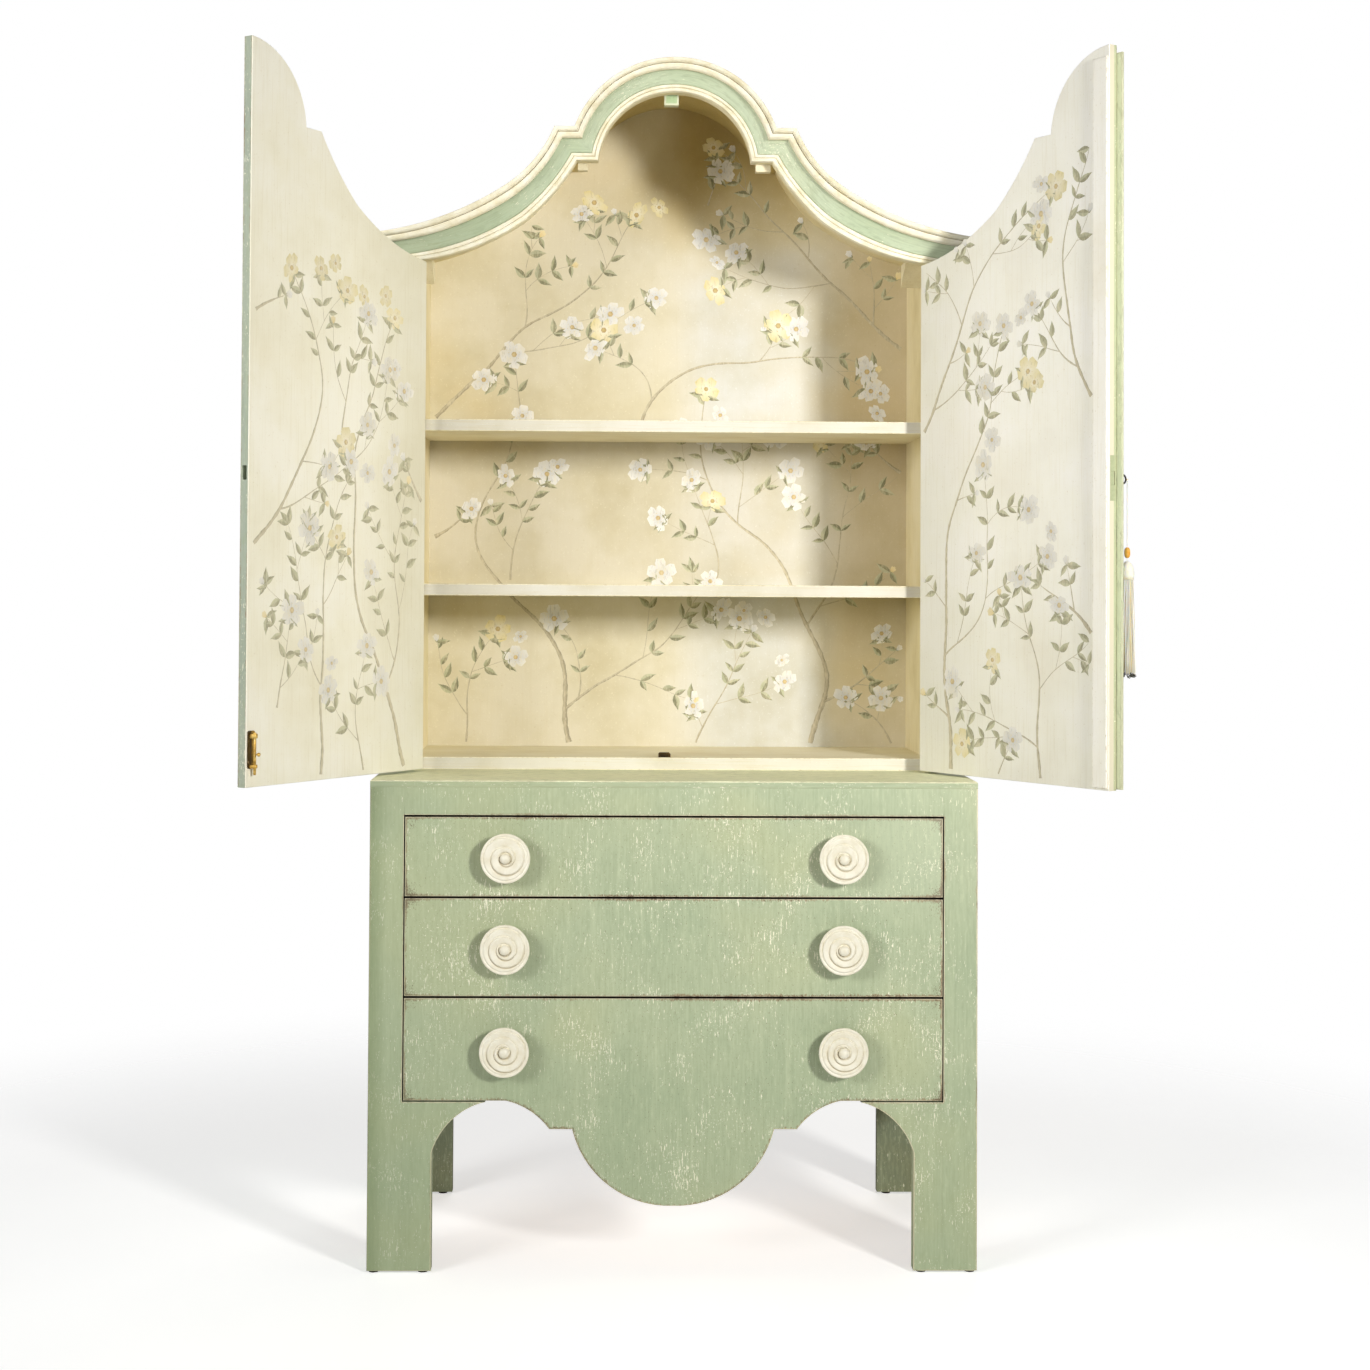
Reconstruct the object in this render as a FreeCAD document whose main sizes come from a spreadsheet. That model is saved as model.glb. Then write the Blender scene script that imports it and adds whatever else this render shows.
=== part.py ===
import FreeCAD, Part
import os
import math
import Sketcher

# Painted two-door cupboard on a three-drawer chest, millimetres, +Z up.
# X runs to the viewer's right, Y runs into the object (the fronts face -Y),
# the floor is Z = 0 and the origin lies under the middle of the object as it
# stands with both doors open.
os.makedirs("parts", exist_ok=True)
doc = FreeCAD.newDocument("PaintedCupboard")
V = FreeCAD.Vector

# ---------------------------------------------------------------- dimensions
PARAMS = [
    ("front_y", -170.5),        # chest front plane
    ("chest_w", 1120.0), ("chest_h", 900.0), ("chest_d", 560.0),
    ("top_t", 13.0), ("side_t", 22.0), ("post_w", 63.0), ("post_t", 40.0),
    ("rail_h", 51.0), ("back_t", 10.0), ("glide_h", 4.0), ("glide_r", 9.0),
    ("foot_w", 117.5), ("bracket_top", 311.5), ("bracket_t", 30.0),
    ("leg_t", 22.0), ("leg_top", 340.0), ("bracket_tip", 345.0),
    ("front_half", 495.5), ("front_t", 22.0),
    ("dtop_lo", 687.0), ("dtop_hi", 833.0),
    ("dmid_lo", 504.5), ("dmid_hi", 684.0),
    ("dlow_lo", 314.0), ("dlow_hi", 501.5),
    ("apron_step", 262.0), ("apron_low", 122.5),
    ("box_half", 488.0), ("box_t", 12.0), ("box_back", 510.0),
    ("box_bottom_t", 8.0), ("runner_t", 18.0), ("runner_in", 466.0),
    ("knob_x", 310.0), ("knob_r", 45.5), ("stem_r", 11.0), ("tenon_r", 6.0),
    ("knob_out", 40.0), ("knob_top_z", 760.0), ("knob_mid_z", 594.0),
    ("knob_low_z", 407.5),
    ("case_y", 219.0),          # front plane of the upper case
    ("case_half", 500.0), ("case_side_t", 18.0), ("inner_y", 244.0),
    ("shelf_t", 23.0), ("shelf_low", 1261.5), ("shelf_high", 1583.5),
    ("board_t", 24.0), ("dado", 6.0), ("fascia_t", 20.0),
    ("in_arch_r", 150.0), ("out_arch_r", 208.0), ("arch_z", 2073.0),
    ("in_ledge_z", 2087.0), ("out_ledge_z", 2145.0),
    ("in_ledge_x", 191.0), ("out_ledge_x", 234.0),
    ("in_mid_x", 290.0), ("in_mid_z", 1969.0),
    ("out_mid_x", 330.0), ("out_mid_z", 2029.0),
    ("in_end_z", 1889.0), ("out_end_z", 1938.0),
    ("bead_out", 14.0), ("band_out", 34.0), ("crown_out", 54.0),
    ("bead_f", 0.24), ("band_f", 0.66), ("ceil_f", 0.707),
    ("door_open", 123.2), ("door_t", 19.0), ("door_gap", 0.75),
    ("door_z", 904.0), ("pin_x", 499.5), ("pin_y", 214.5),
    ("hinge_edge", 0.5), ("face_b", 4.5), ("door_clear", 4.0),
    ("pin_r", 1.75), ("knuckle_r", 4.0), ("knuckle_hole_r", 2.05),
    ("hinge_len", 70.0), ("leaf_t", 1.6), ("leaf_reach", 22.0),
    ("hinge_low", 1000.0), ("hinge_mid", 1400.0), ("hinge_high", 1790.0),
    ("lock_z", 1453.0), ("key_a", 480.0), ("key_r", 2.5),
    ("bow_r", 8.0), ("bow_wire", 1.6), ("bow_b", -29.9),
    ("tassel_b", -42.0), ("cord_r", 1.0),
    ("bolt_a", 486.5), ("rod_r", 2.5), ("rod_b", 33.0),
]
VAL = {}
sheet = doc.addObject("Spreadsheet::Sheet", "Params")
for i, (name, value) in enumerate(PARAMS):
    sheet.set("A%d" % (i + 1), name)
    sheet.set("B%d" % (i + 1), repr(value))
    sheet.setAlias("B%d" % (i + 1), name)
    VAL[name] = value
doc.recompute()


class Q(object):
    """A dimension: its value in millimetres and the sheet expression for it."""
    def __init__(self, v, e):
        self.v = float(v)
        self.e = e

    def __add__(self, o):
        o = q(o); return Q(self.v + o.v, "(%s + %s)" % (self.e, o.e))
    __radd__ = lambda self, o: q(o) + self

    def __sub__(self, o):
        o = q(o); return Q(self.v - o.v, "(%s - %s)" % (self.e, o.e))
    __rsub__ = lambda self, o: q(o) - self

    def __mul__(self, o):
        o = q(o); return Q(self.v * o.v, "(%s * %s)" % (self.e, o.e))
    __rmul__ = lambda self, o: q(o) * self

    def __neg__(self):
        return Q(-self.v, "(0 - %s)" % self.e)


def q(x):
    return x if isinstance(x, Q) else Q(x, "(%r)" % float(x))


def P(name):
    return Q(VAL[name], "Params." + name)


def Y(v):
    return P("front_y") + v


COS = Q(math.cos(math.radians(VAL["door_open"])), "cos(Params.door_open * 1 deg)")
SIN = Q(math.sin(math.radians(VAL["door_open"])), "sin(Params.door_open * 1 deg)")

NODES = {}
COUNT = [0]


def uid(stem):
    COUNT[0] += 1
    return "%s_%d" % (stem, COUNT[0])


def bind(obj, prop, val):
    val = q(val)
    obj.setExpression(prop, val.e)


def place(obj, x, y, z, angle=None, angle_expr=None):
    """Base point bound to the sheet; optional turn about Z."""
    rot = FreeCAD.Rotation()
    if angle is not None:
        rot = FreeCAD.Rotation(V(0, 0, 1), angle)
    obj.Placement = FreeCAD.Placement(V(q(x).v, q(y).v, q(z).v), rot)
    obj.setExpression("Placement.Base.x", q(x).e)
    obj.setExpression("Placement.Base.y", q(y).e)
    obj.setExpression("Placement.Base.z", q(z).e)
    if angle_expr is not None:
        obj.setExpression("Placement.Rotation.Angle", angle_expr)


def box(x0, x1, y0, y1, z0, z1, name=None):
    b = doc.addObject("Part::Box", uid("box"))
    bind(b, "Length", q(x1) - x0)
    bind(b, "Width", q(y1) - y0)
    bind(b, "Height", q(z1) - z0)
    place(b, x0, y0, z0)
    if name:
        node(name, b)
    return b


def cyl(r, h, x, y, z, axis="z", name=None):
    """Cylinder from the base point along +z, +y (into the object) or +x."""
    c = doc.addObject("Part::Cylinder", uid("cyl"))
    bind(c, "Radius", r)
    bind(c, "Height", h)
    place(c, x, y, z)
    if axis == "y":
        c.Placement.Rotation = FreeCAD.Rotation(V(1, 0, 0), -90)
    elif axis == "x":
        c.Placement.Rotation = FreeCAD.Rotation(V(0, 1, 0), 90)
    if name:
        node(name, c)
    return c


def cut(base, tools, name=None):
    out = base
    for t in tools:
        c = doc.addObject("Part::Cut", uid("cut"))
        c.Base = out
        c.Tool = t
        out = c
    if name:
        node(name, out)
    return out


def fuse(items, name=None):
    f = doc.addObject("Part::MultiFuse", uid("fuse"))
    f.Shapes = items
    if name:
        node(name, f)
    return f


def common(a, b, name=None):
    c = doc.addObject("Part::Common", uid("common"))
    c.Base = a
    c.Tool = b
    if name:
        node(name, c)
    return c


def group(items, name):
    g = doc.addObject("Part::Compound", uid("group"))
    g.Links = items
    node(name, g)
    return g


def node(name, obj):
    obj.Label = name
    NODES[name] = obj


def close(a, b):
    return abs(a.x - b.x) < 1e-5 and abs(a.y - b.y) < 1e-5


def sketch_body(outline, length, plane="XZ_Plane"):
    """Pad of a closed outline. The outline is a list of corners (u, v), with
    ("arc", (mu, mv)) between two corners that an arc through that point joins.
    On XZ the pad runs from its plane towards -Y, on YZ towards +X."""
    body = doc.addObject("PartDesign::Body", uid("body"))
    sk = body.newObject("Sketcher::SketchObject", uid("sketch"))
    for f in body.Origin.OriginFeatures:
        if f.Role == plane:
            sk.AttachmentSupport = [(f, "")]
    sk.MapMode = "FlatFace"
    corners = [c for c in outline if c[0] != "arc"]
    pts = [V(q(c[0]).v, q(c[1]).v, 0) for c in corners]
    segs = []
    idx = 0
    for k, c in enumerate(outline):
        if c[0] == "arc":
            continue
        nxt = outline[(k + 1) % len(outline)]
        mid = nxt[1] if nxt[0] == "arc" else None
        segs.append((idx, (idx + 1) % len(corners), mid))
        idx += 1
    ends = {}
    cons = []
    exprs = []
    for a, b, mid in segs:
        if mid is None:
            g = sk.addGeometry(Part.LineSegment(pts[a], pts[b]), False)
            ends.setdefault(a, []).append((g, 1))
            ends.setdefault(b, []).append((g, 2))
        else:
            pa, pb = pts[a], pts[b]
            cx, cy, cr = circle3((pa.x, pa.y), mid, (pb.x, pb.y))
            # sketch arcs run counter-clockwise, so a clockwise one is turned round
            ccw = ((mid[0] - pa.x) * (pb.y - pa.y) - (mid[1] - pa.y) * (pb.x - pa.x)) > 0
            p0, p1 = (pa, pb) if ccw else (pb, pa)
            t0 = math.atan2(p0.y - cy, p0.x - cx)
            t1 = math.atan2(p1.y - cy, p1.x - cx)
            if t1 < t0:
                t1 += 2 * math.pi
            g = sk.addGeometry(Part.ArcOfCircle(Part.Circle(V(cx, cy, 0), V(0, 0, 1), cr), t0, t1), False)
            ends.setdefault(a, []).append((g, 1 if ccw else 2))
            ends.setdefault(b, []).append((g, 2 if ccw else 1))
            cons.append(Sketcher.Constraint("Radius", g, sk.Geometry[g].Radius))
    for i, c in enumerate(corners):
        (g1, p1), (g2, p2) = ends[i][0], ends[i][1]
        cons.append(Sketcher.Constraint("Coincident", g1, p1, g2, p2))
        for kind, axis_geo, val in (("DistanceX", -2, q(c[0])), ("DistanceY", -1, q(c[1]))):
            if abs(val.v) < 1e-9:
                cons.append(Sketcher.Constraint("PointOnObject", g1, p1, axis_geo))
            elif val.v > 0:
                exprs.append((len(cons), val.e))
                cons.append(Sketcher.Constraint(kind, -1, 1, g1, p1, val.v))
            else:
                exprs.append((len(cons), (-val).e))
                cons.append(Sketcher.Constraint(kind, g1, p1, -1, 1, -val.v))
    sk.addConstraint(cons)
    for n, e in exprs:
        if "Params" in e:
            sk.setExpression("Constraints[%d]" % n, e)
    pad = body.newObject("PartDesign::Pad", uid("pad"))
    pad.Profile = sk
    bind(pad, "Length", length)
    body.Tip = pad
    sk.Visibility = False
    return body


def prism(outline, y0, y1, name=None):
    """Outline in X and Z, from y0 to y1."""
    b = sketch_body(outline, q(y1) - y0)
    place(b, 0, y1, 0)
    if name:
        node(name, b)
    return b


def lerp(a, b, f):
    return a + (b - a) * f


def circle3(p, m, r):
    (x1, y1), (x2, y2), (x3, y3) = p, m, r
    d = 2 * (x1 * (y2 - y3) + x2 * (y3 - y1) + x3 * (y1 - y2))
    ux = ((x1**2 + y1**2) * (y2 - y3) + (x2**2 + y2**2) * (y3 - y1) + (x3**2 + y3**2) * (y1 - y2)) / d
    uy = ((x1**2 + y1**2) * (x3 - x2) + (x2**2 + y2**2) * (x1 - x3) + (x3**2 + y3**2) * (x2 - x1)) / d
    return ux, uy, math.hypot(x1 - ux, y1 - uy)


# ------------------------------------------------- stepped arch of the bonnet
# f = 0 is the door opening, f = 1 the outer edge of the cornice. Each side has
# an arch, a level step and a hollow curve made of two arcs.
IN_A, IN_B = (229.5, 2031.5), (386.0, 1917.5)
OUT_A, OUT_B = (268.0, 2086.0), (440.0, 1972.5)


def side_curve(f, xend):
    """Right half of the profile as corners and arc points, apex excluded."""
    r = lerp(P("in_arch_r"), P("out_arch_r"), f)
    zl = lerp(P("in_ledge_z"), P("out_ledge_z"), f)
    xb = lerp(P("in_ledge_x"), P("out_ledge_x"), f)
    xm = lerp(P("in_mid_x"), P("out_mid_x"), f)
    zm = lerp(P("in_mid_z"), P("out_mid_z"), f)
    ze = lerp(P("in_end_z"), P("out_end_z"), f)
    fv = q(f).v
    ma = (lerp(IN_A[0], OUT_A[0], fv), lerp(IN_A[1], OUT_A[1], fv))
    mb = (lerp(IN_B[0], OUT_B[0], fv), lerp(IN_B[1], OUT_B[1], fv))
    xe_nat = lerp(499.0, 572.0, fv)
    cx, cz, cr = circle3((xm.v, zm.v), mb, (xe_nat, ze.v))
    xa = math.sqrt(r.v**2 - (zl.v - VAL["arch_z"])**2)
    zend = lambda x: cz - math.sqrt(max(cr**2 - (x - cx)**2, 0.0))
    if abs(q(xend).v - xe_nat) < 1e-6:
        zv = ze
    elif q(xend).v < xe_nat:
        zv = q(zend(q(xend).v))
    else:
        zv = ze
    xmid = 0.5 * (xm.v + min(q(xend).v, xe_nat))
    m2 = (xmid, zend(xmid))
    return dict(r=r, zl=zl, xa=q(xa), xb=xb, xm=xm, zm=zm, ma=ma, m2=m2,
                xe=q(xend), ze=zv, nat=xe_nat, zend=zend)


def top_line(f, xend):
    """Profile from the left end to the right end."""
    s = side_curve(f, xend)
    left, right = [], []
    ext = s["xe"].v > s["nat"] + 1e-6     # level run past the curve's own end
    right = [(s["xa"], s["zl"]), (s["xb"], s["zl"]), ("arc", s["ma"]),
             (s["xm"], s["zm"]), ("arc", s["m2"])]
    if ext:
        right += [(q(s["nat"]), s["ze"]), (s["xe"], s["ze"])]
    else:
        right += [(s["xe"], s["ze"])]
    left = []
    for c in reversed(right):
        if c[0] == "arc":
            left.append(("arc", (-c[1][0], c[1][1])))
        else:
            left.append((-c[0], c[1]))
    apex = ("arc", (0.0, VAL["arch_z"] + s["r"].v))
    return left + [apex] + right


def under(f, xend, base_z):
    """Closed outline of all that lies under profile f, down to base_z."""
    t = top_line(f, xend)
    return t + [(q(xend), q(base_z)), (-q(xend), q(base_z))]


def ring(f1, x1, f2, x2, y0, y1, base1, base2, name=None):
    big = prism(under(f2, x2, base2), y0, y1)
    small = prism(under(f1, x1, base1), q(y0) - 1, q(y1) + 1)
    return cut(big, [small], name)


# ======================================================================= chest
W2 = P("chest_w") * 0.5
DEP = P("chest_d")
TOPZ = P("chest_h") - P("top_t")
GH = P("glide_h")
inner_x = W2 - P("side_t")
post_x = W2 - P("post_w")

screw_xy = [(-440.0, 300.0), (440.0, 300.0), (-440.0, 500.0), (440.0, 500.0)]
top = box(-W2, W2, Y(0), Y(DEP), TOPZ, P("chest_h"))
cut(top, [cyl(2.5, 12.0, x, Y(y), 889.0) for x, y in screw_xy], "chest_top")

for side, sgn in (("left", -1), ("right", 1)):
    # side panel with a cut-out between its front and back foot
    out = [(P("post_t"), GH), (112.0, GH), (112.0, 205.0), ("arc", (128.0, 240.0)),
           (165.0, 255.0), (433.0, 255.0), ("arc", (470.0, 240.0)), (486.0, 205.0),
           (486.0, GH), (DEP, GH), (DEP, TOPZ), (P("post_t"), TOPZ)]
    b = sketch_body(out, P("side_t"), "YZ_Plane")
    place(b, -W2 if sgn < 0 else inner_x, Y(0), 0)
    node("chest_%s_side" % side, b)
    # post: stile and front foot in one board
    if sgn < 0:
        box(-W2, -post_x, Y(0), Y(P("post_t")), GH, TOPZ, "front_left_post")
    else:
        box(post_x, W2, Y(0), Y(P("post_t")), GH, TOPZ, "front_right_post")
    # bracket: the curved wing beside the foot
    fx = W2 - P("foot_w")
    br = [(sgn * post_x, GH), (sgn * fx, GH), (sgn * fx, 219.0),
          ("arc", (sgn * 413.0, 271.5)), (sgn * P("bracket_tip"), P("bracket_top")),
          (sgn * post_x, P("bracket_top"))]
    prism(br, Y(0), Y(P("bracket_t")), "front_%s_bracket" % side)

box(-post_x, post_x, Y(0), Y(P("post_t")), TOPZ - P("rail_h"), TOPZ, "top_rail")
back_in = DEP - P("back_t")
group([box(-inner_x, -440.0, Y(back_in - P("leg_t")), Y(back_in), GH, P("leg_top")),
       box(440.0, inner_x, Y(back_in - P("leg_t")), Y(back_in), GH, P("leg_top"))], "back_legs")
box(-inner_x, inner_x, Y(back_in), Y(DEP), 300.0, TOPZ, "chest_back")

rs = []
for sgn in (-1, 1):
    for low in ("dtop_lo", "dmid_lo", "dlow_lo"):
        z1 = P(low) + 2.5
        z0 = z1 - P("runner_t")
        xa, xb = (-inner_x, -P("runner_in")) if sgn < 0 else (P("runner_in"), inner_x)
        rs.append(box(xa, xb, Y(P("post_t")), Y(back_in - P("leg_t")), z0, z1))
group(rs, "drawer_runners")

gl = []
for x, y in ((548.0, 14.0), (458.0, 14.0), (549.0, 545.0), (460.0, 539.0)):
    for s in (-1, 1):
        gl.append(cyl(P("glide_r"), GH, s * x, Y(y), 0))
group(gl, "foot_glides")

# ===================================================================== drawers
drawers = (("top_drawer", "dtop", "knob_top_z"), ("middle_drawer", "dmid", "knob_mid_z"),
           ("bottom_drawer", "dlow", "knob_low_z"))
BH, BT = P("box_half"), P("box_t")
for name, key, kz in drawers:
    lo, hi = P(key + "_lo"), P(key + "_hi")
    FH = P("front_half")
    kn = P(kz)
    if name == "bottom_drawer":
        st, low = P("apron_step"), P("apron_low")
        half = [(308.0, lo), ("arc", (262.5, 295.0)), (227.5, st), (185.5, st),
                ("arc", (124.5, 164.5))]
        outline = [(-FH, hi), (FH, hi), (FH, lo)] + half + [(0.0, low)]
        mirrored = []
        for c in reversed(half):
            mirrored.append(("arc", (-c[1][0], c[1][1])) if c[0] == "arc" else (-q(c[0]), c[1]))
        outline += mirrored + [(-FH, lo)]
        front = prism(outline, Y(0), Y(P("front_t")))
    else:
        front = box(-FH, FH, Y(0), Y(P("front_t")), lo, hi)
    holes = [cyl(P("tenon_r"), P("front_t") + 2, s * P("knob_x"), Y(-1.0), kn, "y") for s in (-1, 1)]
    cut(front, holes, name + "_front")
    z0, z1 = lo + 3.0, hi - 15.0
    group([box(-BH, -(BH - BT), Y(P("front_t")), Y(P("box_back")), z0, z1),
           box(BH - BT, BH, Y(P("front_t")), Y(P("box_back")), z0, z1)], name + "_sides")
    box(-(BH - BT), BH - BT, Y(P("box_back") - BT), Y(P("box_back")),
        z0 + 6.0 + P("box_bottom_t"), z1 - 8.0, name + "_back")
    box(-(BH - BT), BH - BT, Y(P("front_t")), Y(P("box_back")),
        z0 + 6.0, z0 + 6.0 + P("box_bottom_t"), name + "_bottom")
    ks = []
    for s in (-1, 1):
        kx = s * P("knob_x")
        ks.append(fuse([
            cyl(P("tenon_r"), P("front_t") - 1.0, kx, Y(0), kn, "y"),
            cyl(P("stem_r"), 22.0, kx, Y(-22.0), kn, "y"),
            cyl(P("knob_r"), 13.0, kx, Y(-32.0), kn, "y"),
            cyl(13.0, 12.0, kx, Y(-P("knob_out")), kn, "y")]))
    group(ks, name + "_knobs")

# ================================================================== upper case
CH, CT = P("case_half"), P("case_side_t")
CY, IY = P("case_y"), P("inner_y")
CEIL = P("ceil_f")
c_in = side_curve(CEIL, CH)
c_out = side_curve(CEIL, CH + CT)
leaf_len = P("hinge_len")
hinges = [P("hinge_low"), P("hinge_mid"), P("hinge_high")]
for side, sgn in (("left", -1), ("right", 1)):
    out = [(sgn * CH, P("chest_h")), (sgn * (CH + CT), P("chest_h")),
           (sgn * (CH + CT), c_out["ze"] - 0.3), (sgn * CH, c_in["ze"] - 0.5)]
    panel = prism(out, Y(CY), Y(DEP))
    tools = []
    for zt in (P("shelf_low"), P("shelf_high")):
        xa, xb = (-(CH + P("dado")), -CH + 1.0) if sgn < 0 else (CH - 1.0, CH + P("dado"))
        tools.append(box(xa, xb, Y(IY), Y(back_in), zt - P("shelf_t"), zt))
    for hz in hinges:
        xa, xb = (-(CH + P("leaf_t")), -CH + 1.0) if sgn < 0 else (CH - 1.0, CH + P("leaf_t"))
        tools.append(box(xa, xb, Y(CY) - 1.0, Y(P("pin_y") + P("leaf_reach")),
                         hz - leaf_len * 0.5, hz + leaf_len * 0.5))
    cut(panel, tools, "case_%s_side" % side)

bottom = box(-CH, CH, Y(IY), Y(back_in), P("chest_h"), P("chest_h") + P("board_t"))
# hole that the left door's bolt drops into, with a low brass strike behind it
bolt_x = P("bolt_a") - P("pin_x")
bolt_y = Y(P("pin_y") + P("rod_b"))
hole = cyl(P("rod_r") + 0.4, 16.0, bolt_x, bolt_y, 909.0)
cut(bottom, [hole]
    + [cyl(2.5, 26.0, x, Y(y), 899.0) for x, y in screw_xy]
    + [cyl(5.0, 4.0, x, Y(y), 921.0) for x, y in screw_xy], "case_bottom")
group([fuse([cyl(2.5, 32.5, x, Y(y), 889.0), cyl(5.0, 2.5, x, Y(y), 921.0)])
       for x, y in screw_xy], "case_screws")
strike = [(bolt_x - 12.0, 924.0), (bolt_x + 12.0, 924.0), (bolt_x + 12.0, 930.0),
          (bolt_x + 9.0, 933.4), (bolt_x - 9.5, 933.4), (bolt_x - 12.0, 931.0)]
prism(strike, Y(252.0), Y(262.0), "bolt_strike")
for zt, nm in ((P("shelf_low"), "lower_shelf"), (P("shelf_high"), "upper_shelf")):
    box(-(CH + P("dado")), CH + P("dado"), Y(IY), Y(back_in), zt - P("shelf_t"), zt, nm)

prism(under(CEIL, CH, P("chest_h")), Y(back_in), Y(DEP), "case_back")
ring(q(0.0), 499.0, CEIL, CH, Y(CY), Y(CY + P("fascia_t")), 1880.0, P("in_end_z"), "arch_board")
# roof: an arched board with its two level steps, and a hollow-curved board each side
xs = lerp(P("in_ledge_x"), P("out_ledge_x"), CEIL)
for nm, xa, xb in (("left_roof_board", -(CH + CT), -xs), ("arched_roof_board", -xs, xs),
                   ("right_roof_board", xs, CH + CT)):
    common(ring(CEIL, CH + CT + 1.0, q(1.0), CH + CT, Y(CY), Y(DEP), 1900.0, c_out["ze"]),
           box(xa, xb, Y(CY) - 1.0, Y(DEP) + 1.0, 1900.0, 2300.0), nm)

# cornice: inner bead and frieze band, then the crown, returned along the sides
BO, NO, CO = P("bead_out"), P("band_out"), P("crown_out")
edge = CH + CT
zb = lerp(P("in_end_z"), P("out_end_z"), P("bead_f"))
zn = lerp(P("in_end_z"), P("out_end_z"), P("band_f"))
frieze = [ring(q(0.0), 499.0, P("bead_f"), edge + BO, Y(CY - BO), Y(CY), 1880.0, P("in_end_z")),
          ring(P("bead_f"), edge + NO + 1.0, P("band_f"), edge + NO, Y(CY - NO), Y(CY), 1880.0, zb)]
crown = [ring(P("band_f"), edge + CO + 1.0, q(1.0), edge + CO, Y(CY - CO), Y(CY), 1880.0, zn)]
for s in (-1, 1):
    for lst, po, za, zc in ((frieze, BO, P("in_end_z"), zb), (frieze, NO, zb, zn),
                            (crown, CO, zn, P("out_end_z"))):
        xa, xb = (-(edge + po), -edge) if s < 0 else (edge, edge + po)
        lst.append(box(xa, xb, Y(CY), Y(DEP), za, zc))
group(frieze, "cornice_frieze")
group(crown, "cornice_crown")

# stops and glue blocks inside the front
blocks = [box(-20.0, 8.0, Y(IY), Y(264.0), 2204.0, 2262.0),
          box(160.0, 189.0, Y(239.0), Y(257.0), 2073.0, 2118.0),
          box(-189.0, -170.0, Y(239.0), Y(257.0), 2073.0, 2118.0)]
# a glue block in each upper corner, its sloping face to the front and down
for s, w in ((-1, 24.0), (1, 40.0)):
    b = sketch_body([(265.0, 1905.0), (342.0, 1861.0), (342.0, 1905.0)], q(w), "YZ_Plane")
    place(b, -CH if s < 0 else CH - w, Y(0), 0)
    blocks.append(b)
group(blocks, "stop_blocks")

# ======================================================================= doors
# Door pieces are placed by a (along the door, from the hinge pin), b (from the
# pin towards the inside) and z. Left and right are mirror images.
AX, AY = P("pin_x"), Y(P("pin_y"))


def spot(sgn, a, b):
    """World X and Y of the door point (a, b)."""
    a, b = q(a), q(b)
    x = -AX + a * COS + b * SIN
    y = AY - a * SIN + b * COS
    return (x, y) if sgn < 0 else (-x, y)


def turn(sgn):
    return (-VAL["door_open"] if sgn < 0 else VAL["door_open"])


def turned(obj, sgn, x, y, z):
    obj.Placement = FreeCAD.Placement(V(q(x).v, q(y).v, q(z).v),
                                      FreeCAD.Rotation(V(0, 0, 1), turn(sgn)))
    obj.setExpression("Placement.Base.x", q(x).e)
    obj.setExpression("Placement.Base.y", q(y).e)
    obj.setExpression("Placement.Base.z", q(z).e)
    # the axis flips its sign with the turn, so the angle itself stays positive
    obj.setExpression("Placement.Rotation.Angle", "Params.door_open * 1 deg")
    obj.Placement.Rotation.Axis = V(0, 0, -1 if sgn < 0 else 1)


def dbox(sgn, a0, a1, b0, b1, z0, z1, name=None):
    b = doc.addObject("Part::Box", uid("dbox"))
    bind(b, "Length", q(a1) - a0)
    bind(b, "Width", q(b1) - b0)
    bind(b, "Height", q(z1) - z0)
    x, y = spot(sgn, a0 if sgn < 0 else a1, b0)
    turned(b, sgn, x, y, z0)
    if name:
        node(name, b)
    return b


def dcyl_z(sgn, r, h, a, b, z, name=None):
    c = doc.addObject("Part::Cylinder", uid("dcyl"))
    bind(c, "Radius", r)
    bind(c, "Height", h)
    x, y = spot(sgn, a, b)
    turned(c, sgn, x, y, z)
    if name:
        node(name, c)
    return c


def dcyl_b(sgn, r, a, b0, b1, z, name=None):
    """Cylinder along the door's thickness, from b0 to b1 (b1 > b0)."""
    c = doc.addObject("Part::Cylinder", uid("dcyl"))
    bind(c, "Radius", r)
    bind(c, "Height", q(b1) - b0)
    x, y = spot(sgn, a, b0)
    place(c, x, y, z)
    t = math.radians(VAL["door_open"])
    nx = math.sin(t) if sgn < 0 else -math.sin(t)
    c.Placement.Rotation = FreeCAD.Rotation(V(0, 0, 1), V(nx, math.cos(t), 0))
    if name:
        node(name, c)
    return c


def door_outline(sgn):
    cl = P("door_clear")
    cy = cl.v
    r = P("in_arch_r") - cl
    zl = P("in_ledge_z") - cl
    xb = P("in_ledge_x") - cl
    xg = P("door_gap")
    xa = math.sqrt(r.v**2 - (zl.v - VAL["arch_z"])**2)
    zt = VAL["arch_z"] + math.sqrt(r.v**2 - xg.v**2)
    off = (cy * 0.62, cy * 0.78)
    xm, zm = P("in_mid_x") - off[0], P("in_mid_z") - off[1]
    ma = (IN_A[0] - cy * 0.75, IN_A[1] - cy * 0.6)
    mb = (IN_B[0] - cy * 0.4, IN_B[1] - cy * 0.92)
    xh = AX - P("hinge_edge")
    ze = P("in_end_z") - cl
    arch_mid = (r.v * math.sin(0.8), VAL["arch_z"] + r.v * math.cos(0.8))
    s = 1.0 if sgn < 0 else -1.0

    def a(x):                      # distance from the middle to distance from the pin
        return s * (AX - x)

    def am(p):
        return (s * (AX.v - p[0]), p[1])
    return [(a(xh), P("door_z")), (a(xg), P("door_z")), (a(xg), q(zt)), ("arc", am(arch_mid)),
            (a(q(xa)), zl), (a(xb), zl), ("arc", am(ma)), (a(xm), zm), ("arc", am(mb)),
            (a(xh), ze)]


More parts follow.
